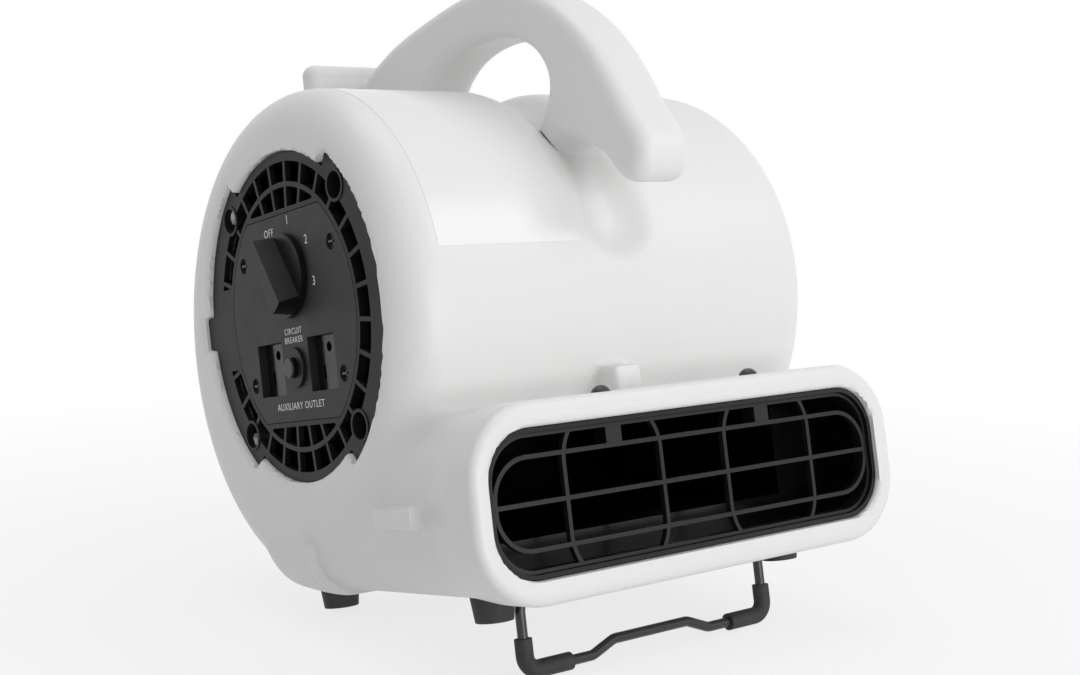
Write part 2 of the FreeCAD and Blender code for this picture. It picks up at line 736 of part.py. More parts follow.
left_cups, left_bores = wells("LeftWell")
outer_slots = slot_ring("LeftOuterSlots", size.slots_inner, size.slots_outer, size.rib_count)
blank = box("LeftSlotBlank", -face_x - 2, "slots_inner-10", "-slots_outer*0.28", "grille_thick+4",
            "30", "slots_outer*0.56")
inner_band = cut("LeftInnerBand", slot_ring("LeftInnerSlots", 40.0, size.panel_radius + 0.5, size.rib_count),
                 box("LeftInnerKeep", -face_x - 2, "-panel_radius*2", "-panel_flat-2.7", "grille_thick+4",
                     "panel_radius*4", "2*panel_flat+5.4"))
panel_room = common("PanelRoom", [
    rod("PanelRoomDisc", "panel_radius+fit_gap", "grille_thick+2", -face_x - 1),
    box("PanelRoomFlats", -face_x - 1, "-2*panel_radius", "-panel_flat-fit_gap", "grille_thick+2",
        "4*panel_radius", "2*panel_flat+2*fit_gap")])
tab = box("LeftTab", -face_x, "inlet_radius-5", "-notch_wide/2+fit_gap", "grille_thick",
          "notch_reach-inlet_radius+5-fit_gap", "notch_wide-2*fit_gap")
SEAT_THICK = 2.0
seat_back = -face_x + size.grille_thick


def rest(name, radius, flat, start, thick):
    """Disc along X cut by two level flats."""
    return common(name, [rod(f"{name}Disc", radius, thick, start),
                         box(f"{name}Flats", start, "-2*panel_radius", f"-({flat})", thick,
                             "4*panel_radius", f"2*({flat})")])


panel_seat = cut("PanelSeat", rest("SeatOut", "slots_inner", "panel_flat+2.7", seat_back, SEAT_THICK),
                 rest("SeatIn", "panel_radius-6", "panel_flat-5", seat_back, SEAT_THICK))
PANEL_SCREWS = [(y, z) for y in (-size.panel_screw_y, size.panel_screw_y)
                for z in (-size.panel_screw_z, size.panel_screw_z)]
panel_bosses = [rod(f"PanelBoss{number}", "4", "8", seat_back, y, z)
                for number, (y, z) in enumerate(PANEL_SCREWS)]
panel_pilots = [rod(f"PanelPilot{number}", "1.5", "10", seat_back - 1, y, z)
                for number, (y, z) in enumerate(PANEL_SCREWS)]
left_plate = cut("LeftPlate", grille_disc("LeftGrille"),
                 fuse("LeftOpenings", [cut("LeftOuterKept", outer_slots, blank), inner_band, panel_room]))
left_body = fuse("LeftGrilleBody", [left_plate, *left_cups, tab, panel_seat, *panel_bosses])
part("left_inlet_grille", cut("LeftGrille", left_body, fuse("LeftGrilleHoles", left_bores + panel_pilots)))

right_cups, right_bores = wells("RightWell")
bands = [slot_ring("RightSlotsA", size.slots_inner, size.slots_outer, size.rib_count),
         slot_ring("RightSlotsB", 54.0, 64.0, size.rib_count),
         slot_ring("RightSlotsC", 41.0, 51.0, size.rib_count / 2),
         slot_ring("RightSlotsD", 28.0, 38.0, size.rib_count / 2)]
right_plate = cut("RightPlate", grille_disc("RightGrille"), fuse("RightOpenings", bands))
right_tab = box("RightTab", -face_x, "inlet_radius-5", "-notch_wide/2+fit_gap", "grille_thick",
                "notch_reach-inlet_radius+5-fit_gap", "notch_wide-2*fit_gap")
right_one = cut("RightGrilleOne", fuse("RightGrilleBody", [right_plate, *right_cups, right_tab]),
                fuse("RightGrilleHoles", right_bores))
part("right_inlet_grille", group("RightGrille", [mirror("RightGrilleMirror", right_one)]))


def pan_screws(name, places, bearing, radius, head, high, long):
    """Screws along +X whose heads rest on a plane."""
    made = []
    for number, (y, z) in enumerate(places):
        cap = rod(f"{name}Head{number}", head, high, bearing - high, y, z)
        shank = rod(f"{name}Shank{number}", radius, long, bearing - 0.2, y, z)
        made.append(fuse(f"{name}{number}", [cap, shank]))
    return made


well_floor = -face_x + size.well_deep + size.grille_thick - 3
left_screws = group("LeftGrilleScrews", pan_screws("LeftScrew", WELLS, well_floor, size.screw_radius,
                                                   size.head_radius, size.head_high, 11))
part("left_grille_screws", left_screws)
right_screws = group("RightScrewsOne", pan_screws("RightScrew", WELLS, well_floor, size.screw_radius,
                                                  size.head_radius, size.head_high, 11))
part("right_grille_screws", group("RightGrilleScrews", [mirror("RightScrewsMirror", right_screws)]))

# ---------------------------------------------------------------------------------------------
# Control panel: plate, switch and knob, two sockets, breaker and the box behind them
# ---------------------------------------------------------------------------------------------
PANEL_THICK = 3.0
SLEEVE_WALL = 1.6
socket_face = -face_x + size.socket_recess
plate_raw = rest("PanelPlateRaw", "panel_radius", "panel_flat", -face_x, PANEL_THICK)
panel_cuts = [rod("PanelShaftHole", "shaft_radius+2", "10", -face_x - 1, "0", "knob_z"),
              rod("PanelBreakerHole", "breaker_radius-2+fit_gap", "10", -face_x - 1, "0", "breaker_z")]
sleeves = []
SOCKETS = {"front": -1, "rear": 1}
for word, side in SOCKETS.items():
    sleeves.append(box(f"Sleeve{word}", -face_x + 1, f"{side}*socket_y-socket_wide/2-{SLEEVE_WALL}",
                       f"socket_z-socket_wide/2-{SLEEVE_WALL}", "socket_recess-1",
                       f"socket_wide+{2 * SLEEVE_WALL}", f"socket_wide+{2 * SLEEVE_WALL}"))
    panel_cuts.append(box(f"SocketWindow{word}", -face_x - 1, f"{side}*socket_y-socket_wide/2",
                          "socket_z-socket_wide/2", "10", "socket_wide", "socket_wide"))
for number, (y, z) in enumerate(PANEL_SCREWS):
    panel_cuts.append(rod(f"PanelWell{number}", "4", "1.6", -face_x - 0.1, y, z))
    panel_cuts.append(rod(f"PanelScrewHole{number}", "1.8", "10", -face_x - 1, y, z))
part("control_panel", cut("ControlPanel", fuse("PanelBody", [plate_raw, *sleeves]), fuse("PanelCuts", panel_cuts)))
part("panel_screws", group("PanelScrews", pan_screws("PanelScrew", PANEL_SCREWS, -face_x + 1.5, 1.45, 3.4, 1.4, 9)))

SLOT_GAP = 6.35
SLOT_DROP = 4.6
GROUND_RISE = 7.3
for word, side in SOCKETS.items():
    y = f"{side}*socket_y"
    flange = box(f"SocketFlange{word}", socket_face, f"{y}-socket_wide/2-1.6", "socket_z-socket_wide/2-1.6",
                 "2.5", "socket_wide+3.2", "socket_wide+3.2")
    body = box(f"SocketBody{word}", socket_face, f"{y}-12.5", "socket_z-12", "22", "25", "24")
    slots = [box(f"SocketSlotA{word}", socket_face - 1, f"{y}-{SLOT_GAP + 1}", f"socket_z-{SLOT_DROP + 4.2}", "16", "2", "8.4"),
             box(f"SocketSlotB{word}", socket_face - 1, f"{y}+{SLOT_GAP - 1}", f"socket_z-{SLOT_DROP + 3.4}", "16", "2", "6.8"),
             rod(f"SocketGround{word}", "2.45", "18", socket_face - 1, y, f"socket_z+{GROUND_RISE}")]
    part(f"{word}_socket", cut(f"Socket{word}", fuse(f"SocketSolid{word}", [flange, body]),
                               fuse(f"SocketSlots{word}", slots)))

SWITCH_RADIUS = 17.0
switch_raw = rod("SwitchRaw", SWITCH_RADIUS, "18", -face_x + PANEL_THICK + 0.1, "0", "knob_z")
switch_flat = box("SwitchFlat", -face_x, "-30", f"socket_z+socket_wide/2+{SLEEVE_WALL}+0.4", "40", "60", "80")
switch_body = common("SwitchBody", [switch_raw, switch_flat])
SHAFT_START = -face_x - 9.0
SHAFT_LONG = 22.0
part("rotary_switch", cut("RotarySwitch", switch_body,
                          rod("SwitchBore", "shaft_radius+running_gap", SHAFT_LONG, SHAFT_START + 0.5, "0", "knob_z")))
part("switch_shaft", group("SwitchShaft", [rod("SwitchShaftRod", "shaft_radius", SHAFT_LONG, SHAFT_START, "0", "knob_z")]))

knob_back = -face_x - size.fit_gap
knob_disc = rod("KnobDisc", "knob_radius", "knob_disc", knob_back - size.knob_disc, "0", "knob_z")
knob_top = knob_back - size.knob_height
GRIP_LOW = 7.5
GRIP_HIGH = 4.5
ridge_foot = [Vector(knob_back - size.knob_disc + 0.5, -GRIP_LOW, 0), Vector(knob_top, -GRIP_HIGH, 0),
              Vector(knob_top, GRIP_HIGH, 0), Vector(knob_back - size.knob_disc + 0.5, GRIP_LOW, 0)]
ridge = Part.Face(Part.makePolygon([*ridge_foot, ridge_foot[0]])).extrude(Vector(0, 0, 2 * size.knob_radius))
ridge.translate(Vector(0, 0, -size.knob_radius))
ridge_trim = Part.makeCylinder(size.knob_radius - 1, 40, Vector(knob_top - 10, 0, 0), Vector(1, 0, 0))
OFF_ANGLE = 33.0
ridge = ridge.common(ridge_trim)
ridge.rotate(Vector(), Vector(1, 0, 0), -OFF_ANGLE)
ridge.translate(Vector(0, 0, size.knob_z))
part("speed_knob", cut("SpeedKnob", fuse("KnobBody", [knob_disc, plain("KnobRidge", ridge)]),
                       rod("KnobBore", "shaft_radius+running_gap", "30", SHAFT_START - 0.2, "0", "knob_z")))

COLLAR_HIGH = 1.8
breaker_out = rod("BreakerCollar", "breaker_radius", COLLAR_HIGH, -face_x - COLLAR_HIGH, "0", "breaker_z")
breaker_in = rod("BreakerBody", "breaker_radius-2", "24", -face_x - 0.1, "0", "breaker_z")
part("breaker_body", cut("Breaker", fuse("BreakerSolid", [breaker_out, breaker_in]),
                         rod("BreakerBore", "button_radius+fit_gap", "14", -face_x - COLLAR_HIGH - 1, "0", "breaker_z")))
BUTTON_PROUD = 3.0
button_raw = rod("ButtonRaw", "button_radius", 10.0, -face_x - COLLAR_HIGH - BUTTON_PROUD, "0", "breaker_z")
part("breaker_button", rounded("BreakerButton", button_raw, 0.8,
                               lambda edge: is_round(edge) and edge.CenterOfMass.x < -face_x - COLLAR_HIGH))
BOX_WALL = 2.0
BOX_DEEP = 30.0
box_out = rest("SwitchBoxOut", "slots_inner-4.4", "panel_flat-1.3", seat_back + SEAT_THICK, BOX_DEEP)
box_in = rest("SwitchBoxIn", f"slots_inner-4.4-{BOX_WALL}", f"panel_flat-1.3-{BOX_WALL}",
              seat_back + SEAT_THICK - 1, BOX_DEEP - BOX_WALL + 1)
part("switch_box", cut("SwitchBox", box_out, box_in))

bushing = fuse("BushingBody", [cord_rod("BushingFlange", "9", 0.2, 2.2), cord_rod("BushingSleeve", "6", -5, 1)])
part("cord_bushing", cut("CordBushing", bushing, cord_rod("BushingBore", "4", -6, 4)))

# ---------------------------------------------------------------------------------------------
# Wheel and motor
# ---------------------------------------------------------------------------------------------
HUB_HALF = 12.0
END_RING = 2.5
wheel_parts = [tube("WheelRingLeft", "wheel_radius", "blade_inner", END_RING, "-wheel_half"),
               tube("WheelRingRight", "wheel_radius", "blade_inner", END_RING, f"wheel_half-{END_RING}"),
               rod("WheelDisc", "wheel_radius-1", "3", "-1.5"),
               rod("WheelHub", "motor_shaft+9", 2 * HUB_HALF, -HUB_HALF)]
BLADE_LEAN = 6.0
blade_line = Part.Wire(Part.Arc(Vector(-size.wheel_half + 1, 0, size.blade_inner + 1),
                                Vector(-size.wheel_half + 1, 0.8, size.blade_inner + 7),
                                Vector(-size.wheel_half + 1, BLADE_LEAN, size.wheel_radius - 1.2)).toShape())
blade_face = blade_line.makeOffset2D(size.blade_thick / 2, openResult=False, fill=True)
blade = blade_face.extrude(Vector(2 * size.wheel_half - 2, 0, 0))
blades = []
for number in range(int(size.blade_count)):
    copy = blade.copy()
    copy.rotate(Vector(), Vector(1, 0, 0), 360.0 * number / size.blade_count)
    blades.append(plain(f"Blade{number}", copy))
wheel_solid = fuse("WheelSolid", wheel_parts + blades)
part("blower_wheel", cut("BlowerWheel", wheel_solid, rod("WheelBore", "motor_shaft+0.02", "40", "-20")))

motor_end = size.lining_half
BELL = 4.0
BEARING_RADIUS = 11.0
BEARING_WIDE = 7.0
part("motor_can", cut("MotorCan", rod("CanOut", "motor_radius", motor_end - size.motor_start - 2 * BELL,
                                      f"motor_start+{BELL}"),
                      rod("CanIn", "motor_radius-1.5", "lining_half", "motor_start")))
for word, plate_x, boss_x in (("left", size.motor_start, size.motor_start + 1),
                              ("right", motor_end - BELL, motor_end - BEARING_WIDE - 3)):
    disc = rod(f"BellDisc_{word}", "motor_radius", BELL, plate_x)
    boss = rod(f"BellBoss_{word}", BEARING_RADIUS + 3, BEARING_WIDE + 2, boss_x)
    seat = rod(f"BellSeat_{word}", BEARING_RADIUS, BEARING_WIDE,
               boss_x + (2 if word == "left" else 0))
    bore = rod(f"BellBore_{word}", "motor_shaft+0.5", "30", plate_x - 15)
    part(f"{word}_motor_end", cut(f"Bell_{word}", fuse(f"BellBody_{word}", [disc, boss]),
                                  fuse(f"BellHoles_{word}", [seat, bore])))
bearings = [tube("BearingLeft", BEARING_RADIUS, "motor_shaft+running_gap", BEARING_WIDE, size.motor_start + 3),
            tube("BearingRight", BEARING_RADIUS, "motor_shaft+running_gap", BEARING_WIDE,
                 motor_end - BEARING_WIDE - 3)]
part("motor_bearings", group("MotorBearings", bearings))
STATOR_X = 40.0
STATOR_LONG = 44.0
part("stator", tube("Stator", "motor_radius-1.5", "24.4", STATOR_LONG, STATOR_X))
part("rotor_core", tube("RotorCore", "24", "motor_shaft+0.02", STATOR_LONG, STATOR_X))
part("motor_shaft", group("MotorShaft", [rod("ShaftRod", "motor_shaft", motor_end - 1 + HUB_HALF + 2, -HUB_HALF - 2)]))

BRACKET_THICK = 3.0
arms = []
bracket_holes = [rod("BracketMiddle", "20", "10", motor_end - 3)]
for number, angle in enumerate(BRACKET_ANGLES):
    arm = Part.makeBox(BRACKET_THICK, 12, BRACKET_REACH + 7 - 30, Vector(motor_end, -6, 30))
    arm.rotate(Vector(), Vector(1, 0, 0), angle - 90)
    arms.append(plain(f"BracketArm{number}", arm))
    bracket_holes.append(rod(f"BracketHole{number}", "screw_radius+running_gap", "10", motor_end - 3,
                             *around(angle, BRACKET_REACH)))
bracket = fuse("BracketBody", [rod("BracketPlate", "motor_radius", BRACKET_THICK, motor_end), *arms])
part("motor_bracket", cut("MotorBracket", bracket, fuse("BracketHoles", bracket_holes)))
bracket_places = [around(angle, BRACKET_REACH) for angle in BRACKET_ANGLES]
bracket_screws = pan_screws("BracketScrew", [(y, z) for y, z in bracket_places],
                            -motor_end - BRACKET_THICK, size.screw_radius, size.head_radius, size.head_high, 10)
part("bracket_screws", group("BracketScrews", [mirror("BracketScrewsMirror", group("BracketScrewsOne", bracket_screws))]))

# ---------------------------------------------------------------------------------------------
# Rubber feet
# ---------------------------------------------------------------------------------------------
def ground_plane(body, role):
    """Origin plane of a body."""
    return next(feature for feature in body.Origin.OriginFeatures if feature.Role == role)


def circle_sketch(body, name, radius_rule, radius):
    """Sketch of one circle about the body's origin."""
    sketch = body.newObject("Sketcher::SketchObject", name)
    sketch.AttachmentSupport = (ground_plane(body, "XY_Plane"), "")
    sketch.MapMode = "FlatFace"
    sketch.addGeometry(Part.Circle(Vector(), Vector(0, 0, 1), radius), False)
    sketch.addConstraint(Sketcher.Constraint("Coincident", 0, 3, -1, 1))
    sketch.addConstraint(Sketcher.Constraint("Radius", 0, radius))
    sketch.setExpression("Constraints[1]", linked(radius_rule))
    return sketch


FOOT_RECESS = 7.0
for word, (side, y) in FEET.items():
    body = doc.addObject("PartDesign::Body", f"Foot_{word}")
    pad = body.newObject("PartDesign::Pad", f"FootPad_{word}")
    pad.Profile = circle_sketch(body, f"FootOutline_{word}", "foot_top", size.foot_top)
    pad.Reversed = True
    bind(pad, Length="foot_high", TaperAngle="-atan((foot_top-foot_bottom)/foot_high)")
    hole = body.newObject("PartDesign::Pocket", f"FootHole_{word}")
    hole.Profile = circle_sketch(body, f"FootHoleOutline_{word}", "screw_radius+0.3", size.screw_radius + 0.3)
    hole.Type = "ThroughAll"
    hole.Midplane = True
    recess = body.newObject("PartDesign::Pocket", f"FootRecess_{word}")
    recess_sketch = circle_sketch(body, f"FootRecessOutline_{word}", "head_radius+1", size.head_radius + 1)
    recess_sketch.setExpression(".AttachmentOffset.Base.z", linked("-foot_high"))
    recess.Profile = recess_sketch
    recess.Reversed = True
    recess.Length = FOOT_RECESS
    put(body, f"{side}*foot_x", y, BASE_LOW)
    part(f"{word}_foot", group(f"FootPiece_{word}", [body]))
foot_screws = []
for word, (side, y) in FEET.items():
    floor_z = f"{BASE_LOW}-foot_high+{FOOT_RECESS}"
    head = rod(f"FootScrewHead_{word}", "head_radius", "head_high", f"{side}*foot_x", y,
               f"{floor_z}-head_high", ALONG_Z)
    shank = rod(f"FootScrewShank_{word}", "screw_radius", "13", f"{side}*foot_x", y, f"{floor_z}-0.2", ALONG_Z)
    foot_screws.append(fuse(f"FootScrew_{word}", [head, shank]))
part("foot_screws", group("FootScrews", foot_screws))

# ---------------------------------------------------------------------------------------------
# Kickstand: bent wire, corner sleeves, clips and their screws
# ---------------------------------------------------------------------------------------------
hinge_z = base_low - size.stand_drop
bar_z = hinge_z - size.stand_leg
JOG_OUT = 37.0
JOG_IN = 23.5
JOG_RISE = 5.3


def bent(points, radii):
    """Wire of straight runs joined by tangent arcs, one radius for each inner corner."""
    edges = []
    start = points[0]
    for before, corner, after, radius in zip(points, points[1:], points[2:], radii):
        inward = (before - corner).normalize()
        outward = (after - corner).normalize()
        half = inward.getAngle(outward) / 2
        trim = radius / math.tan(half)
        enter = corner + inward * trim
        leave = corner + outward * trim
        centre = corner + (inward + outward).normalize() * (radius / math.sin(half))
        middle = centre + (corner - centre).normalize() * radius
        edges.append(Part.makeLine(start, enter))
        edges.append(Part.Arc(enter, middle, leave).toShape())
        start = leave
    edges.append(Part.makeLine(start, points[-1]))
    return Part.Wire(edges)


def pipe(path, radius):
    """Round bar along a path."""
    first = path.Edges[0]
    circle = Part.Wire(Part.makeCircle(radius, path.Vertexes[0].Point, first.tangentAt(first.FirstParameter)))
    return path.makePipeShell([circle], True, True)


def stand_point(x, z):
    """Point in the kickstand's plane."""
    return Vector(x, size.stand_y, z)


half_points = [stand_point(JOG_IN, bar_z + JOG_RISE), stand_point(JOG_OUT, bar_z),
               stand_point(size.stand_half, bar_z), stand_point(size.stand_half, hinge_z),
               stand_point(size.clip_x - size.clip_wide / 2 - 1, hinge_z)]
half_radii = [8.0, 8.0, size.stand_bend, size.stand_bend]
mirrored = [Vector(-point.x, point.y, point.z) for point in half_points]
stand_path = bent(list(reversed(half_points)) + mirrored, list(reversed(half_radii[1:])) + [8.0, 8.0] + half_radii[1:])
part("kickstand_wire", plain("KickstandWire", pipe(stand_path, size.wire_radius)))
for word, side in CLIPS.items():
    sleeve_path = bent([stand_point(side * (size.stand_half - size.sleeve_reach), bar_z),
                        stand_point(side * size.stand_half, bar_z),
                        stand_point(side * size.stand_half, bar_z + size.sleeve_rise)], [size.stand_bend])
    sleeve = pipe(sleeve_path, size.sleeve_radius).cut(pipe(sleeve_path, size.wire_radius + size.running_gap))
    part(f"{word}_stand_sleeve", plain(f"StandSleeve_{word}", sleeve))
    lobe = rod(f"ClipLobe_{word}", "stand_drop-0.9", "clip_wide", f"{side}*clip_x-clip_wide/2", "stand_y", hinge_z)
    top = box(f"ClipTop_{word}", f"{side}*clip_x-clip_wide/2", "stand_y-stand_drop+0.9", hinge_z, "clip_wide",
              "2*stand_drop-1.8", "stand_drop")
    ear = box(f"ClipEars_{word}", f"{side}*clip_x-clip_wide/2", "stand_y-12.4", f"{base_low}-3", "clip_wide", "24.8", "3")
    holes = [rod(f"ClipBore_{word}", "wire_radius+running_gap", "clip_wide+2", f"{side}*clip_x-clip_wide/2-1",
                 "stand_y", hinge_z)]
    for end in (-1, 1):
        holes.append(rod(f"ClipEarHole_{word}{'Front' if end < 0 else 'Rear'}", "screw_radius+0.2", "10",
                         f"{side}*clip_x", f"stand_y+{end * CLIP_SCREW_Y}", base_low - 8, ALONG_Z))
    part(f"{word}_stand_clip", cut(f"StandClip_{word}", fuse(f"ClipBody_{word}", [lobe, top, ear]),
                                   fuse(f"ClipHoles_{word}", holes)))
clip_screws = []
for word, side in CLIPS.items():
    for end in (-1, 1):
        tag = f"{word}{'Front' if end < 0 else 'Rear'}"
        y = f"stand_y+{end * CLIP_SCREW_Y}"
        head = rod(f"ClipScrewHead{tag}", "3.4", "2", f"{side}*clip_x", y, base_low - 5, ALONG_Z)
        shank = rod(f"ClipScrewShank{tag}", "screw_radius", "9.6", f"{side}*clip_x", y, base_low - 3.2, ALONG_Z)
        clip_screws.append(fuse(f"ClipScrew{tag}", [head, shank]))
part("clip_screws", group("ClipScrews", clip_screws))

# ---------------------------------------------------------------------------------------------
# Stand the whole on its rear feet and kickstand, then write it
# ---------------------------------------------------------------------------------------------
doc.recompute()
foot_edge = Vector(0, size.foot_rear + size.foot_bottom, base_low - size.foot_high)
bar_centre = Vector(0, size.stand_y, bar_z)
across = foot_edge.y - bar_centre.y
drop = foot_edge.z - bar_centre.z
tilt = math.degrees(math.atan2(drop, across) + math.asin(size.sleeve_radius / math.hypot(across, drop)))
turn = Rotation(Vector(1, 0, 0), -tilt)
for item in PARTS:
    item.Placement = Placement(Vector(), turn)
doc.recompute()
bounds = FreeCAD.BoundBox()
for item in PARTS:
    bounds.add(item.Shape.optimalBoundingBox(True, False))
shift = Vector(-bounds.Center.x, -bounds.Center.y, -turn.multVec(foot_edge).z)
for item in PARTS:
    item.Placement = Placement(shift, turn)
doc.recompute()

failed = [item.Name for item in doc.Objects if "Invalid" in item.State or "Error" in item.State]
for item in PARTS:
    shape = item.Shape
    if shape.isNull() or not shape.isValid() or not shape.Solids:
        failed.append(item.Label)
if failed:
    raise SystemExit(f"these failed: {failed}")
os.makedirs("parts", exist_ok=True)
for item in PARTS:
    item.Shape.exportStep(f"parts/{item.Label}.step")
print(f"{len(PARTS)} sub-parts, tilt {tilt:.3f} degrees, shift {shift.x:.3f} {shift.y:.3f} {shift.z:.3f}")
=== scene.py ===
"""Looks of the portable air mover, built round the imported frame."""
import json
import logging
import math
from dataclasses import dataclass, field
from enum import Enum

import bmesh
import bpy
import numpy as np
from mathutils import Matrix, Vector


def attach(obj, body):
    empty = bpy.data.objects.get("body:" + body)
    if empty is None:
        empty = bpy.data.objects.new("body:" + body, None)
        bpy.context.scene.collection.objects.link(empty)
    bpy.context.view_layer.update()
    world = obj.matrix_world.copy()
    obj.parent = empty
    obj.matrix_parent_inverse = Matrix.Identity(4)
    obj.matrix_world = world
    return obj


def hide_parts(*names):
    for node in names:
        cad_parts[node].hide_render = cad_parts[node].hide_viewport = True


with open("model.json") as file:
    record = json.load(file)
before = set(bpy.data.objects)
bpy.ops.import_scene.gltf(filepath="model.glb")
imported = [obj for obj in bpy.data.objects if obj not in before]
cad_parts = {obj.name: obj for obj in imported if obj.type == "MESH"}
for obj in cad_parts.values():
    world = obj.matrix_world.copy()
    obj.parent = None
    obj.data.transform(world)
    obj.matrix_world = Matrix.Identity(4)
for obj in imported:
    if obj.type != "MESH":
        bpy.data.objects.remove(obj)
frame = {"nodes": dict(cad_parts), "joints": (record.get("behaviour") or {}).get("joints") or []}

logging.basicConfig(level=logging.INFO, format="%(message)s")
log = logging.getLogger("air_mover")
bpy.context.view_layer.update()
MM = 0.001


# ---------------------------------------------------------------------------------------------
# Places
# ---------------------------------------------------------------------------------------------
@dataclass(frozen=True)
class Stance:
    """How the machine's own axes lie in the frame: its wheel's centre and its backward lean.

    In the machine's own axes, in millimetres, the wheel's centre is the origin, X runs along its
    shaft, the mouth faces -Y and Z points up through the handle.
    """

    centre: Vector
    lean: float

    @classmethod
    def from_joints(cls, joints: list, hinge: tuple[float, float]) -> "Stance":
        """Read the lean from the kickstand's hinge.

        Args:
            joints: The record's joints.
            hinge: The hinge's own (y, z) place in millimetres.

        Returns:
            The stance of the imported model.
        """
        places = {joint["name"]: joint.get("pos_m") for joint in joints}
        centre = Vector(places["wheel_spin"])
        arm = Vector(places["kickstand_fold"]) - centre
        lean = math.atan2(arm.z, arm.y) - math.atan2(hinge[1], hinge[0])
        return cls(centre, lean)

    def matrix(self) -> Matrix:
        """Matrix from the machine's millimetres to the frame's metres."""
        return Matrix.Translation(self.centre) @ Matrix.Rotation(self.lean, 4, "X") @ Matrix.Scale(MM, 4)


def joint_place(name: str) -> Vector:
    """Place of a joint in the frame."""
    return Vector(next(joint["pos_m"] for joint in frame["joints"] if joint["name"] == name))


# ---------------------------------------------------------------------------------------------
# Finishes
# ---------------------------------------------------------------------------------------------
class Tree:
    """Small helper that adds and links the nodes of one tree."""

    def __init__(self, tree: bpy.types.NodeTree) -> None:
        """Keep the tree."""
        self.tree = tree

    def add(self, kind: str, **values: object) -> bpy.types.Node:
        """Add a node and set its properties."""
        node = self.tree.nodes.new(kind)
        for name, value in values.items():
            setattr(node, name, value)
        return node

    def link(self, start: bpy.types.NodeSocket, end: bpy.types.NodeSocket) -> None:
        """Join two sockets."""
        self.tree.links.new(start, end)


def shader_group(name: str, inputs: dict[str, float], outputs: list[str]) -> tuple[Tree, bpy.types.Node,
                                                                                  bpy.types.Node]:
    """Start a shader node group.

    Args:
        name: The group's name.
        inputs: Each input's name and default; the vector input comes first by itself.
        outputs: Names of the outputs.

    Returns:
        The tree helper, the group's input node and its output node.
    """
    group = bpy.data.node_groups.new(name, "ShaderNodeTree")
    group.interface.new_socket("Vector", in_out="INPUT", socket_type="NodeSocketVector")
    for label, value in inputs.items():
        socket = group.interface.new_socket(label, in_out="INPUT", socket_type="NodeSocketFloat")
        socket.default_value = value
    for label in outputs:
        group.interface.new_socket(label, in_out="OUTPUT", socket_type="NodeSocketFloat")
    tree = Tree(group)
    return tree, tree.add("NodeGroupInput"), tree.add("NodeGroupOutput")


def grain_group() -> bpy.types.NodeTree:
    """Fine moulded grain: a height and a mask, from two noises."""
    tree, start, end = shader_group("MouldedGrain", {"Scale": 900.0, "Broad": 0.3}, ["Height", "Mask"])
    fine = tree.add("ShaderNodeTexNoise")
    fine.inputs["Detail"].default_value = 3.0
    broad = tree.add("ShaderNodeTexNoise")
    broad.inputs["Detail"].default_value = 2.0
    smaller = tree.add("ShaderNodeMath", operation="MULTIPLY")
    smaller.inputs[1].default_value = 0.03
    blend = tree.add("ShaderNodeMix", data_type="FLOAT")
    tree.link(start.outputs["Vector"], fine.inputs["Vector"])
    tree.link(start.outputs["Vector"], broad.inputs["Vector"])
    tree.link(start.outputs["Scale"], fine.inputs["Scale"])
    tree.link(start.outputs["Scale"], smaller.inputs[0])
    tree.link(smaller.outputs[0], broad.inputs["Scale"])
    tree.link(start.outputs["Broad"], blend.inputs["Factor"])
    tree.link(fine.outputs["Fac"], blend.inputs["A"])
    tree.link(broad.outputs["Fac"], blend.inputs["B"])
    tree.link(blend.outputs["Result"], end.inputs["Height"])
    tree.link(broad.outputs["Fac"], end.inputs["Mask"])
    return tree.tree


def dust_group() -> bpy.types.NodeTree:
    """Handling marks: soft patches broken up by a fine noise."""
    tree, start, end = shader_group("HandlingMarks", {"Scale": 9.0, "Amount": 0.5}, ["Mask"])
    patch = tree.add("ShaderNodeTexNoise")
    patch.inputs["Detail"].default_value = 6.0
    patch.inputs["Roughness"].default_value = 0.65
    ramp = tree.add("ShaderNodeMapRange")
    ramp.inputs["From Min"].default_value = 0.45
    ramp.inputs["From Max"].default_value = 0.8
    scale = tree.add("ShaderNodeMath", operation="MULTIPLY")
    tree.link(start.outputs["Vector"], patch.inputs["Vector"])
    tree.link(start.outputs["Scale"], patch.inputs["Scale"])
    tree.link(patch.outputs["Fac"], ramp.inputs["Value"])
    tree.link(ramp.outputs["Result"], scale.inputs[0])
    tree.link(start.outputs["Amount"], scale.inputs[1])
    tree.link(scale.outputs[0], end.inputs["Mask"])
    return tree.tree


GRAIN = grain_group()
MARKS = dust_group()


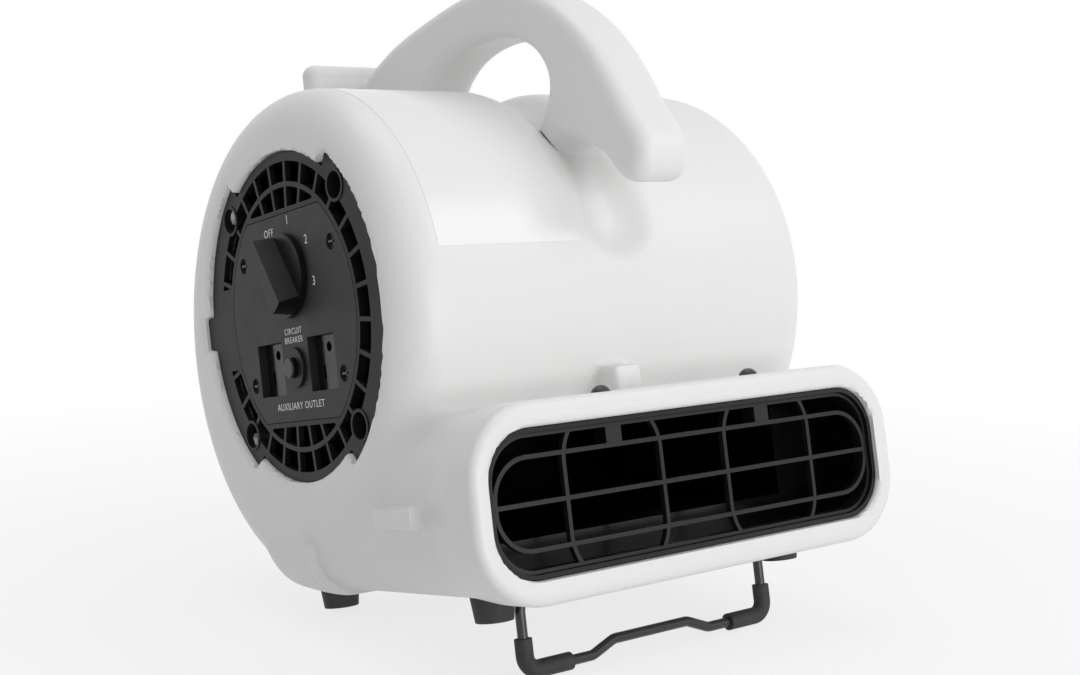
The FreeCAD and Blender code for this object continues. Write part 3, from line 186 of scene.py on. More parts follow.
@dataclass(frozen=True)
class Finish:
    """One surface finish: a base colour with grain, marks and a gloss that varies a little."""

    name: str
    slot: str
    colour: tuple[float, float, float]
    marked: tuple[float, float, float]
    roughness: float
    roughness_spread: float = 0.06
    metallic: float = 0.0
    grain_scale: float = 900.0
    grain_depth: float = 0.00003
    broad: float = 0.3
    marks: float = 0.4
    marks_scale: float = 9.0
    coat: float = 0.0
    specular: float = 0.5

    def material(self) -> bpy.types.Material:
        """Build the material, or return the one already built."""
        found = bpy.data.materials.get(self.name)
        if found is not None:
            return found
        made = bpy.data.materials.new(self.name)
        made.use_nodes = True
        tree = Tree(made.node_tree)
        shader = made.node_tree.nodes["Principled BSDF"]
        place = tree.add("ShaderNodeTexCoord")
        grain = tree.add("ShaderNodeGroup", node_tree=GRAIN)
        grain.inputs["Scale"].default_value = self.grain_scale
        grain.inputs["Broad"].default_value = self.broad
        marks = tree.add("ShaderNodeGroup", node_tree=MARKS)
        marks.inputs["Scale"].default_value = self.marks_scale
        marks.inputs["Amount"].default_value = self.marks
        bump = tree.add("ShaderNodeBump")
        bump.inputs["Distance"].default_value = self.grain_depth
        colour = tree.add("ShaderNodeMix", data_type="RGBA")
        colour.inputs["A"].default_value = (*self.colour, 1.0)
        colour.inputs["B"].default_value = (*self.marked, 1.0)
        gloss = tree.add("ShaderNodeMapRange")
        gloss.inputs["To Min"].default_value = self.roughness - self.roughness_spread
        gloss.inputs["To Max"].default_value = self.roughness + self.roughness_spread
        for node in (grain, marks):
            tree.link(place.outputs["Object"], node.inputs["Vector"])
        tree.link(grain.outputs["Height"], bump.inputs["Height"])
        tree.link(bump.outputs["Normal"], shader.inputs["Normal"])
        tree.link(marks.outputs["Mask"], colour.inputs["Factor"])
        tree.link(colour.outputs["Result"], shader.inputs["Base Color"])
        tree.link(grain.outputs["Mask"], gloss.inputs["Value"])
        tree.link(gloss.outputs["Result"], shader.inputs["Roughness"])
        shader.inputs["Metallic"].default_value = self.metallic
        shader.inputs["Coat Weight"].default_value = self.coat
        shader.inputs["Specular IOR Level"].default_value = self.specular
        return made


WHITE = Finish("WhiteShell", "white_plastic", (0.80, 0.80, 0.795), (0.77, 0.77, 0.765), 0.42, 0.05,
               grain_scale=1400.0, grain_depth=0.00002, marks=0.35, marks_scale=7.0)
STICKER = Finish("BareSticker", "white_plastic", (0.83, 0.83, 0.83), (0.81, 0.81, 0.81), 0.26, 0.03,
                 grain_scale=300.0, grain_depth=0.000005, marks=0.2)
BLACK = Finish("BlackPlastic", "black_plastic", (0.010, 0.010, 0.011), (0.018, 0.018, 0.018), 0.46, 0.06,
               grain_scale=1600.0, marks=0.3, specular=0.22)
PANEL = Finish("PanelPlastic", "panel_plastic", (0.024, 0.024, 0.025), (0.036, 0.036, 0.036), 0.55, 0.08,
               grain_scale=1900.0, grain_depth=0.00005, marks=0.3, marks_scale=30.0, specular=0.3)
KNOB = Finish("KnobPlastic", "black_plastic", (0.006, 0.006, 0.006), (0.012, 0.012, 0.012), 0.34, 0.06,
              grain_scale=1500.0, marks=0.4, marks_scale=40.0, specular=0.2)
GLOSS = Finish("GlossBlack", "black_gloss", (0.005, 0.005, 0.005), (0.010, 0.010, 0.010), 0.18, 0.05,
               grain_scale=500.0, grain_depth=0.000008, broad=0.7, marks=0.4, coat=0.15, specular=0.3)
GRILLE = Finish("GrilleBlack", "black_plastic", (0.010, 0.010, 0.011), (0.020, 0.020, 0.020), 0.36, 0.06,
                grain_scale=1200.0, grain_depth=0.00002, marks=0.3, specular=0.3)
RUBBER = Finish("BlackRubber", "rubber", (0.024, 0.024, 0.025), (0.06, 0.058, 0.055), 0.68, 0.1,
                grain_scale=1100.0, grain_depth=0.00006, marks=0.7, marks_scale=35.0)
COATED = Finish("CoatedSteel", "black_steel", (0.020, 0.020, 0.021), (0.05, 0.05, 0.05), 0.30, 0.08,
                grain_scale=800.0, grain_depth=0.00002, marks=0.5, marks_scale=45.0)
ZINC = Finish("ZincSteel", "steel", (0.56, 0.56, 0.57), (0.42, 0.41, 0.40), 0.30, 0.08, metallic=1.0,
              grain_scale=700.0, marks=0.7, marks_scale=60.0)
CORE = Finish("CoreSteel", "core_steel", (0.22, 0.21, 0.20), (0.12, 0.10, 0.09), 0.48, 0.1, metallic=0.8,
              grain_scale=900.0, marks=0.8, marks_scale=40.0)
CAST = Finish("CastAluminium", "aluminium", (0.58, 0.58, 0.59), (0.46, 0.46, 0.46), 0.42, 0.1, metallic=1.0,
              grain_scale=1000.0, grain_depth=0.00006, marks=0.6, marks_scale=40.0)
INK = Finish("WhiteInk", "white_plastic", (0.80, 0.80, 0.80), (0.72, 0.72, 0.72), 0.5, 0.04,
             grain_depth=0.000005, marks=0.5, marks_scale=150.0)

NODE_FINISH = {
    "housing": WHITE, "handle": WHITE, "scroll_lining": GLOSS, "outlet_grille": GRILLE,
    "left_inlet_grille": BLACK, "right_inlet_grille": BLACK, "control_panel": PANEL, "speed_knob": KNOB,
    "front_socket": GLOSS, "rear_socket": GLOSS, "breaker_body": BLACK, "breaker_button": GLOSS,
    "switch_box": BLACK, "rotary_switch": BLACK, "blower_wheel": GLOSS, "motor_can": ZINC,
    "left_motor_end": CAST, "right_motor_end": CAST, "motor_bearings": ZINC, "stator": CORE,
    "rotor_core": CORE, "motor_shaft": ZINC, "switch_shaft": ZINC, "motor_bracket": ZINC,
    "bracket_screws": ZINC, "handle_screws": ZINC, "foot_screws": ZINC, "clip_screws": ZINC,
    "panel_screws": COATED, "left_grille_screws": COATED, "right_grille_screws": COATED,
    "outlet_grille_screws": COATED, "kickstand_wire": COATED, "left_stand_sleeve": RUBBER,
    "right_stand_sleeve": RUBBER, "cord_bushing": RUBBER, "left_stand_clip": BLACK,
    "right_stand_clip": BLACK, "front_left_foot": RUBBER, "front_right_foot": RUBBER,
    "rear_left_foot": RUBBER, "rear_right_foot": RUBBER,
}


def dress_nodes() -> None:
    """Give every CAD node its finish."""
    for name, node in frame["nodes"].items():
        node.data.materials.clear()
        node.data.materials.append(NODE_FINISH[name].material())
    log.info("dressed %d nodes", len(frame["nodes"]))


# ---------------------------------------------------------------------------------------------
# Pieces
# ---------------------------------------------------------------------------------------------
def piece_from(name: str, vertices: np.ndarray, faces: list, finish: Finish, body: str, stance: Stance,
               sharp: float = 40.0) -> bpy.types.Object:
    """Make a piece from points in the machine's own axes.

    Args:
        name: The piece's name.
        vertices: Points in millimetres, one row each.
        faces: Faces as vertex numbers.
        finish: Its finish.
        body: The body that it rides on.
        stance: The machine's stance.
        sharp: Angle in degrees past which an edge stays sharp.

    Returns:
        The finished object, at the origin.
    """
    mesh = bpy.data.meshes.new(name)
    mesh.from_pydata(np.asarray(vertices).tolist(), [], [list(face) for face in faces])
    mesh.transform(stance.matrix())
    return place_mesh(name, mesh, finish, body, sharp)


def place_mesh(name: str, mesh: bpy.types.Mesh, finish: Finish, body: str, sharp: float = 40.0) -> bpy.types.Object:
    """Turn a mesh that already lies in the frame into a piece that rides on a body."""
    mesh.validate()
    mesh.materials.clear()
    mesh.materials.append(finish.material())
    mesh.polygons.foreach_set("use_smooth", [True] * len(mesh.polygons))
    mesh.set_sharp_from_angle(angle=math.radians(sharp))
    made = bpy.data.objects.new(name, mesh)
    bpy.context.scene.collection.objects.link(made)
    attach(made, body)
    log.info("%s: %d faces", name, len(mesh.polygons))
    return made


# ---------------------------------------------------------------------------------------------
# Moulded shell
# ---------------------------------------------------------------------------------------------
Field = np.ndarray


def soft_min(a: Field, b: Field, blend: float) -> Field:
    """Smaller of two distances, with the corner between them rounded."""
    near = np.maximum(blend - np.abs(a - b), 0.0) / blend
    return np.minimum(a, b) - near * near * blend / 4


def soft_max(a: Field, b: Field, blend: float) -> Field:
    """Larger of two distances, with the corner between them rounded."""
    return -soft_min(-a, -b, blend)


def rounded_pair(a: Field, b: Field, radius: float) -> Field:
    """Meeting of two slabs with a true radius on their edge."""
    a, b = a + radius, b + radius
    return np.hypot(np.maximum(a, 0), np.maximum(b, 0)) + np.minimum(np.maximum(a, b), 0) - radius


def rounded_box(point: tuple[Field, Field, Field], middle: tuple, half: tuple, radius: float) -> Field:
    """Distance to a box with rounded edges."""
    gaps = [np.abs(along - at) - size + radius for along, at, size in zip(point, middle, half)]
    outside = np.sqrt(sum(np.maximum(gap, 0) ** 2 for gap in gaps))
    return outside + np.minimum(np.maximum(np.maximum(gaps[0], gaps[1]), gaps[2]), 0) - radius


@dataclass
class MouldedShell:
    """Rotation-moulded look of the housing: drum, base, neck and mouth run softly into each other.

    Sizes are millimetres and degrees in the machine's own axes.
    """

    half_width: float = 129.0
    drum_radius: float = 113.0
    drum_y: float = 3.0
    scroll_growth: float = 12.5
    side_round: float = 22.0
    base_half: float = 125.0
    base_floor: float = -138.0
    base_top: float = -57.5
    base_rear: float = 50.0
    base_round: float = 22.0
    flare_start: float = -109.5
    flare_end: float = -130.0
    mouth_face: float = -148.5
    mouth_z: float = -97.4
    mouth_half: tuple[float, float] = (129.0, 44.25)
    mouth_round: float = 34.0
    hole_half: tuple[float, float] = (119.5, 32.85)
    hole_round: float = 23.0
    groove_ring: float = 129.0
    groove_tube: float = 24.0
    groove_span: tuple[float, float] = (-75.0, 20.0)
    inlet_radius: float = 90.0
    inlet_way: float = 84.0
    inlet_depth: float = 6.0
    lip_radius: float = 82.0
    lip_half_angle: float = 34.0
    notch_half: float = 9.0
    notch_radius: float = 97.0
    wall: float = 6.0
    cell: float = 2.6

    def drum(self, x: Field, y: Field, z: Field) -> Field:
        """Drum whose rear half grows downwards into the scroll."""
        grown = np.where(y > self.drum_y, self.scroll_growth, 0.0)
        round_wall = np.hypot(y - self.drum_y, z + grown) - self.drum_radius - grown
        return rounded_pair(round_wall, np.abs(x) - self.half_width, self.side_round)

    def trunk(self, x: Field, y: Field, z: Field) -> Field:
        """Base, neck and mouth as one bar whose section swells towards the mouth."""
        share = np.clip((self.flare_start - y) / (self.flare_start - self.flare_end), 0, 1)
        share = share * share * (3 - 2 * share)
        base_middle = (self.base_floor + self.base_top) / 2
        base_high = (self.base_top - self.base_floor) / 2
        middle = base_middle + share * (self.mouth_z - base_middle)
        half_x = self.base_half + share * (self.mouth_half[0] - self.base_half)
        half_z = base_high + share * (self.mouth_half[1] - base_high)
        radius = self.base_round + share * (self.mouth_round - self.base_round)
        across, high = np.abs(x) - half_x + radius, np.abs(z - middle) - half_z + radius
        section = (np.hypot(np.maximum(across, 0), np.maximum(high, 0))
                   + np.minimum(np.maximum(across, high), 0) - radius)
        front = rounded_pair(section, self.mouth_face - y, 3.5)
        return rounded_pair(front, y - self.base_rear, 9.0)

    def lugs(self, x: Field, y: Field, z: Field) -> Field:
        """Small moulded lugs above the mouth and on both flanks."""
        top = rounded_box((x, y, z), (-10, -104, -61.5), (8, 11, 20), 2.5)
        flank = rounded_box((np.abs(x) + 0.06 * (y + 105), y, z), (124, -85.5, -99), (10, 19.5, 5), 2.0)
        return np.minimum(top, flank)

    def groove(self, x: Field, y: Field, z: Field) -> Field:
        """Finger groove that runs round the drum under the handle."""
        low, high = (math.radians(angle) for angle in self.groove_span)
        turn = np.clip(np.arctan2(y - self.drum_y, z), low, high)
        return np.sqrt(x * x + (y - self.drum_y - self.groove_ring * np.sin(turn)) ** 2
                       + (z - self.groove_ring * np.cos(turn)) ** 2) - self.groove_tube

    def inlet(self, x: Field, y: Field, z: Field) -> Field:
        """Stepped round inlet at each end, with its lips and its cord notch."""
        out = np.hypot(y, z)
        lean = np.degrees(np.arctan2(np.abs(y), np.abs(z)))
        lip = np.clip((self.lip_half_angle + 0.8 - lean) / 1.6, 0, 1)
        radius = self.inlet_radius - lip * (self.inlet_radius - self.lip_radius)
        step = soft_max(out - radius, self.half_width - self.inlet_depth - np.abs(x), 1.5)
        notch = np.maximum(np.maximum(np.abs(z) - self.notch_half, out - self.notch_radius),
                           np.maximum(self.half_width - self.inlet_depth - np.abs(x), -y))
        way = np.maximum(out - self.inlet_way, self.half_width - 29 - np.abs(x))
        way = np.where(np.abs(x) > self.half_width - self.inlet_depth + 0.01, np.maximum(way, out - radius), way)
        return np.minimum(np.minimum(step, notch), way)

    def mouth_hole(self, x: Field, y: Field, z: Field) -> Field:
        """Rectangular way out through the mouth."""
        across = np.abs(x) - self.hole_half[0] + self.hole_round
        high = np.abs(z - self.mouth_z) - self.hole_half[1] + self.hole_round
        section = (np.hypot(np.maximum(across, 0), np.maximum(high, 0))
                   + np.minimum(np.maximum(across, high), 0) - self.hole_round)
        return np.maximum(section, y + 84)

    def body(self, x: Field, y: Field, z: Field) -> Field:
        """Outer form without any opening."""
        form = soft_min(self.drum(x, y, z), self.trunk(x, y, z), 12.0)
        form = np.maximum(form, np.maximum(self.base_floor - 3.65 - z, np.abs(x) - self.half_width))
        form = soft_min(form, self.lugs(x, y, z), 3.0)
        return soft_max(form, -self.groove(x, y, z), 7.0)

    def distance(self, x: Field, y: Field, z: Field) -> Field:
        """Signed distance to the whole shell, less than zero inside its wall."""
        form = self.body(x, y, z)
        cavity = np.maximum(form + self.wall, np.maximum(y - 110, np.abs(x) - self.half_width + 12))
        cuts = np.minimum(self.inlet(x, y, z), self.mouth_hole(x, y, z))
        form = soft_max(form, -cuts, 2.2)
        return np.maximum(form, -cavity)

    def net(self) -> tuple[np.ndarray, np.ndarray]:
        """Lay a net of four-sided faces over the surface and pull its points onto it.

        Returns:
            The points and the faces.
        """
        low = np.array([-137.0, -152.0, -145.0])
        high = np.array([137.0, 132.0, 118.0])
        count = np.ceil((high - low) / self.cell).astype(int) + 1
        rows = [low[i] + self.cell * np.arange(count[i]) for i in range(3)]
        value = self.distance(*np.meshgrid(*rows, indexing="ij"))
        inside = value < 0
        number = sum(inside[i:count[0] - 1 + i, j:count[1] - 1 + j, k:count[2] - 1 + k].astype(np.int8)
                     for i in (0, 1) for j in (0, 1) for k in (0, 1))
        crossed = (number > 0) & (number < 8)
        index = np.full(crossed.shape, -1)
        index[crossed] = np.arange(crossed.sum())
        cells = np.argwhere(crossed)
        total, hits = np.zeros((len(cells), 3)), np.zeros(len(cells))
        corners = [np.array([i, j, k]) for i in (0, 1) for j in (0, 1) for k in (0, 1)]
        for start in corners:
            for end in corners:
                if (end - start).sum() != 1 or (end - start).min() < 0:
                    continue
                a, b = value[tuple((cells + start).T)], value[tuple((cells + end).T)]
                cross = (a < 0) != (b < 0)
                part = np.where(cross, a / np.where(cross, a - b, 1), 0)[:, None]
                total += np.where(cross[:, None], cells + start + part * (end - start), 0)
                hits += cross
        points = low + self.cell * total / hits[:, None]
        faces = []
        for axis in range(3):
            u, v = np.eye(3, dtype=int)[(axis + 1) % 3], np.eye(3, dtype=int)[(axis + 2) % 3]
            first, second = np.delete(inside, -1, axis), np.delete(inside, 0, axis)
            places = np.argwhere(first != second)
            ring = [places, places - u, places - u - v, places - v]
            quads = np.stack([index[tuple(corner.T)] for corner in ring], axis=1)
            leaves = first[tuple(places.T)]
            faces.append(np.where(leaves[:, None], quads, quads[:, ::-1]))
        ring = np.concatenate(faces)
        for turn in range(7):
            if turn < 4:
                total, hits = np.zeros_like(points), np.zeros(len(points))
                for corner in range(4):
                    for other in (corner - 1, (corner + 1) % 4):
                        np.add.at(total, ring[:, corner], points[ring[:, other]])
                        np.add.at(hits, ring[:, corner], 1)
                points = points + 0.5 * (total / hits[:, None] - points)
            gap = self.distance(*points.T)
            slope = np.stack([self.distance(*(points + 0.05 * way).T) - self.distance(*(points - 0.05 * way).T)
                              for way in np.eye(3)], axis=1) / 0.1
            steep = np.maximum((slope * slope).sum(axis=1), 0.25)
            step = np.clip(-gap / steep, -0.5 * self.cell, 0.5 * self.cell)
            points = points + step[:, None] * slope
        return points, ring

    def build(self, stance: Stance) -> None:
        """Make the shell and let it stand for the housing."""
        points, faces = self.net()
        made = piece_from("moulded_shell", points, faces, WHITE, "blower", stance, sharp=50.0)
        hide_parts("housing")


# ---------------------------------------------------------------------------------------------
# Sticker and words
# ---------------------------------------------------------------------------------------------
@dataclass
class Sticker:
    """Bare white sticker laid over the drum's front and top."""

    drum_radius: float = 113.0
    drum_y: float = 3.0
    scroll_growth: float = 12.5
    left: float = -106.0
    right: float = -26.0
    span: tuple[float, float] = (-80.0, 9.0)
    thick: float = 0.14
    lift: float = 0.02
    columns: int = 24
    rows: int = 60

    def build(self, stance: Stance) -> None:
        """Make the sticker as a thin closed sheet."""
        layers = []
        for height in (self.lift, self.lift + self.thick):
            for turn in np.linspace(*self.span, self.rows):
                grown = self.scroll_growth if turn > 0 else 0.0
                radius = self.drum_radius + grown + height
                y = self.drum_y + radius * math.sin(math.radians(turn))
                z = radius * math.cos(math.radians(turn)) - grown
                layers += [(x, y, z) for x in np.linspace(self.left, self.right, self.columns)]
        size = self.rows * self.columns
        faces = []
        for row in range(self.rows - 1):
            for column in range(self.columns - 1):
                a = row * self.columns + column
                quad = (a, a + 1, a + 1 + self.columns, a + self.columns)
                faces += [tuple(size + corner for corner in quad), quad[::-1]]
        edge = ([row * self.columns for row in range(self.rows)]
                + [(self.rows - 1) * self.columns + column for column in range(1, self.columns)]
                + [row * self.columns + self.columns - 1 for row in range(self.rows - 2, -1, -1)]
                + list(range(self.columns - 2, 0, -1)))
        faces += [(a, size + a, size + b, b) for a, b in zip(edge, edge[1:] + edge[:1])]
        made = piece_from("blank_sticker", np.array(layers), faces, STICKER, "blower", stance)


@dataclass(frozen=True)
class Word:
    """One printed word: its text, its place on the panel as the reader sees it, and its height."""

    text: str
    right: float
    up: float
    high: float


@dataclass
class PanelPrint:
    """White words and figures on the control panel's flat face."""

    face_x: float = -126.0
    lift: float = 0.06
    knob_z: float = 20.6
    ring: float = 27.5
    marks: tuple = (("OFF", -33.0, 4.0), ("1", 12.0, 4.6), ("2", 57.0, 4.6), ("3", 102.0, 4.6))
    lines: tuple = (Word("CIRCUIT", 0.0, -7.0, 3.1), Word("BREAKER", 0.0, -11.4, 3.1),
                    Word("AUXILIARY OUTLET", 0.0, -44.0, 3.6))

    def words(self) -> list[Word]:
        """All the words with their places."""
        ring = [Word(text, self.ring * math.sin(math.radians(angle)),
                     self.knob_z + self.ring * math.cos(math.radians(angle)), high)
                for text, angle, high in self.marks]
        return ring + list(self.lines)

    def build(self, stance: Stance) -> None:
        """Make every word a mesh on the panel."""
        joined = bmesh.new()
        reader = Matrix(((0, 0, -1, self.face_x), (-1, 0, 0, 0), (0, 1, 0, 0), (0, 0, 0, 1)))
        for word in self.words():
            curve = bpy.data.curves.new("PanelWord", "FONT")
            curve.body = word.text
            curve.size = word.high * 1.4
            curve.align_x = "CENTER"
            curve.align_y = "CENTER"
            curve.space_character = 1.12
            curve.extrude = self.lift / 2
            curve.resolution_u = 3
            holder = bpy.data.objects.new("PanelWord", curve)
            bpy.context.scene.collection.objects.link(holder)
            mesh = bpy.data.meshes.new_from_object(holder.evaluated_get(bpy.context.evaluated_depsgraph_get()))
            mesh.transform(reader @ Matrix.Translation((word.right, word.up, self.lift / 2 + 0.01)))
            joined.from_mesh(mesh)
            bpy.data.objects.remove(holder)
            bpy.data.meshes.remove(mesh)
        mesh = bpy.data.meshes.new("panel_words")
        joined.to_mesh(mesh)
        joined.free()
        mesh.transform(stance.matrix())
        place_mesh("panel_words", mesh, INK, "blower")


# ---------------------------------------------------------------------------------------------
# Screws
# ---------------------------------------------------------------------------------------------
class Facing(Enum):
    """Way in which a set of screws shows its heads, as a turn from straight up."""

    LEFT = (0.0, -90.0, 0.0)
    RIGHT = (0.0, 90.0, 0.0)
    UP = (0.0, 0.0, 0.0)
    DOWN = (180.0, 0.0, 0.0)


def screw_tree() -> bpy.types.NodeTree:
    """Build the tree that sets a cross-slotted pan screw on every point.

    Returns:
        The geometry node group.
    """
    group = bpy.data.node_groups.new("CrossScrews", "GeometryNodeTree")
    face = group.interface
    face.new_socket("Geometry", in_out="INPUT", socket_type="NodeSocketGeometry")
    for name in ("Head Radius", "Head Height", "Shank Radius", "Shank Length", "Slot Width"):
        face.new_socket(name, in_out="INPUT", socket_type="NodeSocketFloat")
    face.new_socket("Turn", in_out="INPUT", socket_type="NodeSocketVector")
    face.new_socket("Material", in_out="INPUT", socket_type="NodeSocketMaterial")
    face.new_socket("Geometry", in_out="OUTPUT", socket_type="NodeSocketGeometry")
    tree = Tree(group)
    start, end = tree.add("NodeGroupInput"), tree.add("NodeGroupOutput")

    def scaled(socket: bpy.types.NodeSocket, factor: float) -> bpy.types.NodeSocket:
        """Multiply a socket by a number."""
        node = tree.add("ShaderNodeMath", operation="MULTIPLY")
        tree.link(socket, node.inputs[0])
        node.inputs[1].default_value = factor
        return node.outputs[0]

    def vector(x: object, y: object, z: object) -> bpy.types.NodeSocket:
        """Combine three sockets or numbers."""
        node = tree.add("ShaderNodeCombineXYZ")
        for slot, value in zip(node.inputs, (x, y, z)):
            if isinstance(value, (int, float)):
                slot.default_value = value
            else:
                tree.link(value, slot)
        return node.outputs[0]

    def cylinder(radius: str, depth: str, side: float) -> bpy.types.NodeSocket:
        """Cylinder that stands above or hangs below the head's seat."""
        node = tree.add("GeometryNodeMeshCylinder")
        node.inputs["Vertices"].default_value = 24
        tree.link(start.outputs[radius], node.inputs["Radius"])
        tree.link(start.outputs[depth], node.inputs["Depth"])
        place = tree.add("GeometryNodeTransform")
        tree.link(node.outputs["Mesh"], place.inputs["Geometry"])
        tree.link(vector(0, 0, scaled(start.outputs[depth], side / 2)), place.inputs["Translation"])
        return place.outputs["Geometry"]

    slots = tree.add("GeometryNodeJoinGeometry")
    long = scaled(start.outputs["Head Radius"], 1.25)
    for across, deep in ((long, start.outputs["Slot Width"]), (start.outputs["Slot Width"], long)):
        bar = tree.add("GeometryNodeMeshCube")
        tree.link(vector(across, deep, start.outputs["Head Height"]), bar.inputs["Size"])
        place = tree.add("GeometryNodeTransform")
        tree.link(bar.outputs["Mesh"], place.inputs["Geometry"])
        tree.link(vector(0, 0, start.outputs["Head Height"]), place.inputs["Translation"])
        tree.link(place.outputs["Geometry"], slots.inputs[0])
    cut = tree.add("GeometryNodeMeshBoolean", operation="DIFFERENCE")
    tree.link(cylinder("Head Radius", "Head Height", 1.0), cut.inputs["Mesh 1"])
    tree.link(slots.outputs[0], cut.inputs["Mesh 2"])
    whole = tree.add("GeometryNodeJoinGeometry")
    tree.link(cut.outputs["Mesh"], whole.inputs[0])
    tree.link(cylinder("Shank Radius", "Shank Length", -1.0), whole.inputs[0])
    spread = tree.add("GeometryNodeInstanceOnPoints")
    turn = tree.add("FunctionNodeEulerToRotation")
    tree.link(start.outputs["Geometry"], spread.inputs["Points"])
    tree.link(whole.outputs[0], spread.inputs["Instance"])
    tree.link(start.outputs["Turn"], turn.inputs[0])
    tree.link(turn.outputs[0], spread.inputs["Rotation"])
    real = tree.add("GeometryNodeRealizeInstances")
    paint = tree.add("GeometryNodeSetMaterial")
    tree.link(spread.outputs["Instances"], real.inputs["Geometry"])
    tree.link(real.outputs["Geometry"], paint.inputs["Geometry"])
    tree.link(start.outputs["Material"], paint.inputs["Material"])
    tree.link(paint.outputs["Geometry"], end.inputs["Geometry"])
    return group


def loose_boxes(node: str, stance: Stance) -> list[tuple[Vector, Vector]]:
    """Find the low and high corner of each loose solid of a CAD node, in the machine's own axes.

    Args:
        node: The CAD node's name.
        stance: The machine's stance.

    Returns:
        One pair of corners for each solid, in a steady order.
    """
    shape = bmesh.new()
    shape.from_mesh(frame["nodes"][node].data)
    bmesh.ops.remove_doubles(shape, verts=shape.verts, dist=1e-6)
    shape.transform(stance.matrix().inverted())
    left, found = set(shape.verts), []
    for seed in shape.verts:
        if seed not in left:
            continue
        stack, group = [seed], []
        left.discard(seed)
        while stack:
            here = stack.pop()
            group.append(here.co.copy())
            for edge in here.link_edges:
                other = edge.other_vert(here)
                if other in left:
                    left.discard(other)
                    stack.append(other)
        found.append((Vector([min(at[i] for at in group) for i in range(3)]),
                      Vector([max(at[i] for at in group) for i in range(3)])))
    shape.free()
    return sorted(found, key=lambda pair: tuple(round(value, 2) for value in pair[0]))


@dataclass
class ScrewSet:
    """Screws that stand for one CAD node of screws, all facing one way."""

    node: str
    facing: Facing
    finish: Finish
    head_high: float

    def build(self, tree: bpy.types.NodeTree, stance: Stance) -> None:
        """Set the screws on their seats, read from the CAD node.

        Args:
            tree: The screws' geometry nodes.
            stance: The machine's stance.
        """
        axis = 0 if self.facing in (Facing.LEFT, Facing.RIGHT) else 2
        outward = -1.0 if self.facing in (Facing.LEFT, Facing.DOWN) else 1.0
        boxes = loose_boxes(self.node, stance)
        seats = []
        for low, high in boxes:
            seat = (low + high) / 2
            tip = low[axis] if outward < 0 else high[axis]
            seat[axis] = tip - outward * self.head_high
            seats.append(tuple(seat))
        low, high = boxes[0]
        side = (axis + 1) % 3
        radius = (high[side] - low[side]) / 2
        points = bpy.data.meshes.new(f"{self.node}_seats")
        points.from_pydata(seats, [], [])
        holder = bpy.data.objects.new(f"{self.node}_seats", points)
        bpy.context.scene.collection.objects.link(holder)
        modifier = holder.modifiers.new("Screws", "NODES")
        modifier.node_group = tree
        given = {"Head Radius": radius, "Head Height": self.head_high, "Shank Radius": radius * 0.5,
                 "Shank Length": high[axis] - low[axis] - self.head_high, "Slot Width": radius * 0.3,
                 "Turn": tuple(math.radians(angle) for angle in self.facing.value),
                 "Material": self.finish.material()}
        for item in tree.interface.items_tree:
            if item.item_type == "SOCKET" and item.in_out == "INPUT" and item.name in given:
                modifier[item.identifier] = given[item.name]
        mesh = bpy.data.meshes.new_from_object(holder.evaluated_get(bpy.context.evaluated_depsgraph_get()))
        holder.modifiers.remove(modifier)
        bpy.data.objects.remove(holder)
        mesh.transform(stance.matrix())
        made = place_mesh(f"{self.node}_slotted", mesh, self.finish, "blower", sharp=35.0)
        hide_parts(self.node)


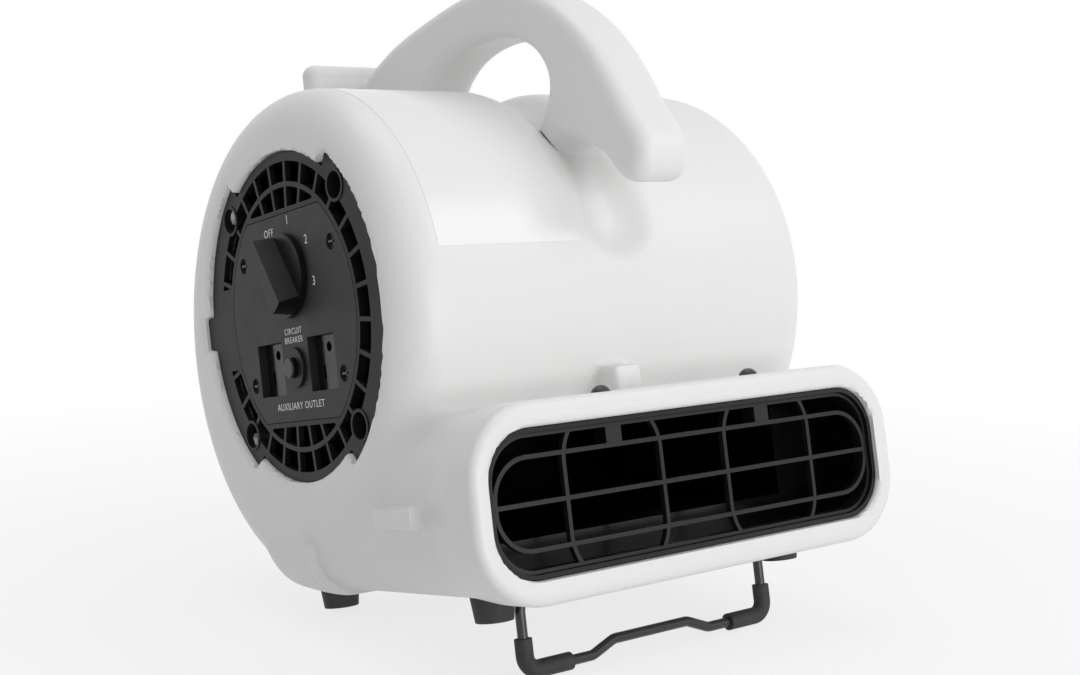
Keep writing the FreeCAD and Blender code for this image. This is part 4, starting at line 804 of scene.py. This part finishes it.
# ---------------------------------------------------------------------------------------------
# Stage
# ---------------------------------------------------------------------------------------------
@dataclass
class Studio:
    """Camera, lamps, floor and surroundings."""

    stance: Stance
    eye: tuple[float, float, float] = (-485.19, -689.85, -48.0)
    yaw: float = 36.48
    pitch: float = 2.02
    roll: float = -6.37
    lens: float = 51.86
    shift_up: float = -0.0051
    floor_half: float = 6.0
    lamps: list = field(default_factory=lambda: [
        ("Key", (1.3, -1.5, 1.7), 1.1, 9.0),
        ("Front", (0.3, -2.4, 0.2), 1.4, 27.0),
        ("Top", (0.0, 0.3, 2.2), 1.4, 9.0),
    ])

    def camera(self) -> None:
        """Set up the camera from its angles in the machine's own axes."""
        yaw, pitch, roll = (math.radians(angle) for angle in (self.yaw, self.pitch, self.roll))
        ahead = Vector((math.sin(yaw) * math.cos(pitch), math.cos(yaw) * math.cos(pitch), math.sin(pitch)))
        level = Vector((math.cos(yaw), -math.sin(yaw), 0.0))
        upright = level.cross(ahead)
        right = math.cos(roll) * level + math.sin(roll) * upright
        above = -math.sin(roll) * level + math.cos(roll) * upright
        turn = Matrix((right, above, -ahead)).transposed().to_4x4()
        data = bpy.data.cameras.new("Camera")
        data.lens = self.lens
        data.sensor_width = 36.0
        data.shift_y = self.shift_up
        data.clip_start = 0.01
        eye = bpy.data.objects.new("Camera", data)
        place = self.stance.matrix() @ Vector(self.eye)
        eye.matrix_world = Matrix.Translation(place) @ Matrix.Rotation(self.stance.lean, 4, "X") @ turn
        bpy.context.scene.collection.objects.link(eye)
        bpy.context.scene.camera = eye

    def lights(self) -> None:
        """Hang the soft lamps, each aimed at the machine's middle."""
        aim = Vector((0.0, 0.0, 0.15))
        for name, place, across, power in self.lamps:
            data = bpy.data.lights.new(name, "AREA")
            data.shape = "DISK"
            data.size = across
            data.energy = power
            lamp = bpy.data.objects.new(name, data)
            lamp.location = place
            lamp.rotation_euler = (aim - Vector(place)).to_track_quat("-Z", "Y").to_euler()
            bpy.context.scene.collection.objects.link(lamp)

    def world(self) -> None:
        """Plain surroundings, white to the camera and in reflections."""
        made = bpy.data.worlds.new("Studio")
        bpy.context.scene.world = made
        made.use_nodes = True
        tree = Tree(made.node_tree)
        path = tree.add("ShaderNodeLightPath")
        seen = tree.add("ShaderNodeMath", operation="MAXIMUM")
        seen_too = tree.add("ShaderNodeMath", operation="MAXIMUM")
        shine = tree.add("ShaderNodeMapRange")
        shine.inputs["To Min"].default_value = 0.48
        shine.inputs["To Max"].default_value = 1.0
        tree.link(path.outputs["Is Camera Ray"], seen.inputs[0])
        tree.link(path.outputs["Is Glossy Ray"], seen.inputs[1])
        tree.link(seen.outputs[0], seen_too.inputs[0])
        tree.link(path.outputs["Is Transmission Ray"], seen_too.inputs[1])
        tree.link(seen_too.outputs[0], shine.inputs["Value"])
        tree.link(shine.outputs["Result"], made.node_tree.nodes["Background"].inputs["Strength"])
        made.node_tree.nodes["Background"].inputs["Color"].default_value = (1.0, 1.0, 1.0, 1.0)

    def floor(self) -> None:
        """Pale floor that goes white towards the camera and keeps a soft shadow."""
        half = self.floor_half
        mesh = bpy.data.meshes.new("Floor")
        mesh.from_pydata([(-half, -half, 0.0), (half, -half, 0.0), (half, half, 0.0), (-half, half, 0.0)],
                         [], [(0, 1, 2, 3)])
        made = bpy.data.objects.new("Floor", mesh)
        bpy.context.scene.collection.objects.link(made)
        paint = bpy.data.materials.new("FloorPaint")
        paint.use_nodes = True
        tree = Tree(paint.node_tree)
        shader = paint.node_tree.nodes["Principled BSDF"]
        shader.inputs["Base Color"].default_value = (0.86, 0.86, 0.86, 1.0)
        shader.inputs["Roughness"].default_value = 0.9
        shader.inputs["Specular IOR Level"].default_value = 0.0
        glow = tree.add("ShaderNodeEmission")
        mix = tree.add("ShaderNodeMixShader")
        path = tree.add("ShaderNodeLightPath")
        seen = tree.add("ShaderNodeMath", operation="MAXIMUM")
        place = tree.add("ShaderNodeTexCoord")
        away = tree.add("ShaderNodeVectorMath", operation="LENGTH")
        fade = tree.add("ShaderNodeMapRange")
        fade.inputs["From Min"].default_value = 0.22
        fade.inputs["From Max"].default_value = 0.75
        fade.inputs["To Min"].default_value = 0.76
        part = tree.add("ShaderNodeMath", operation="MULTIPLY")
        tree.link(place.outputs["Object"], away.inputs[0])
        tree.link(away.outputs["Value"], fade.inputs["Value"])
        tree.link(fade.outputs["Result"], part.inputs[1])
        tree.link(path.outputs["Is Camera Ray"], seen.inputs[0])
        tree.link(path.outputs["Is Glossy Ray"], seen.inputs[1])
        tree.link(seen.outputs[0], part.inputs[0])
        tree.link(part.outputs[0], mix.inputs[0])
        tree.link(shader.outputs[0], mix.inputs[1])
        tree.link(glow.outputs[0], mix.inputs[2])
        tree.link(mix.outputs[0], paint.node_tree.nodes["Material Output"].inputs["Surface"])
        mesh.materials.append(paint)

    def build(self) -> None:
        """Set the whole stage."""
        bpy.context.scene.view_settings.view_transform = "Standard"
        self.camera()
        self.lights()
        self.world()
        self.floor()
        log.info("stage set")


KICKSTAND_HINGE = (-97.0, -143.0)
SCREWS = (
    ("panel_screws", Facing.LEFT, COATED, 1.45),
    ("left_grille_screws", Facing.LEFT, COATED, 1.8),
    ("right_grille_screws", Facing.RIGHT, COATED, 1.8),
)


def main() -> None:
    """Build the stage and every piece in order."""
    stance = Stance.from_joints(frame["joints"], KICKSTAND_HINGE)
    Studio(stance).build()
    dress_nodes()
    MouldedShell().build(stance)
    Sticker().build(stance)
    PanelPrint().build(stance)
    tree = screw_tree()
    for node, facing, finish, head_high in SCREWS:
        ScrewSet(node, facing, finish, head_high).build(tree, stance)


if __name__ == "__main__":
    main()
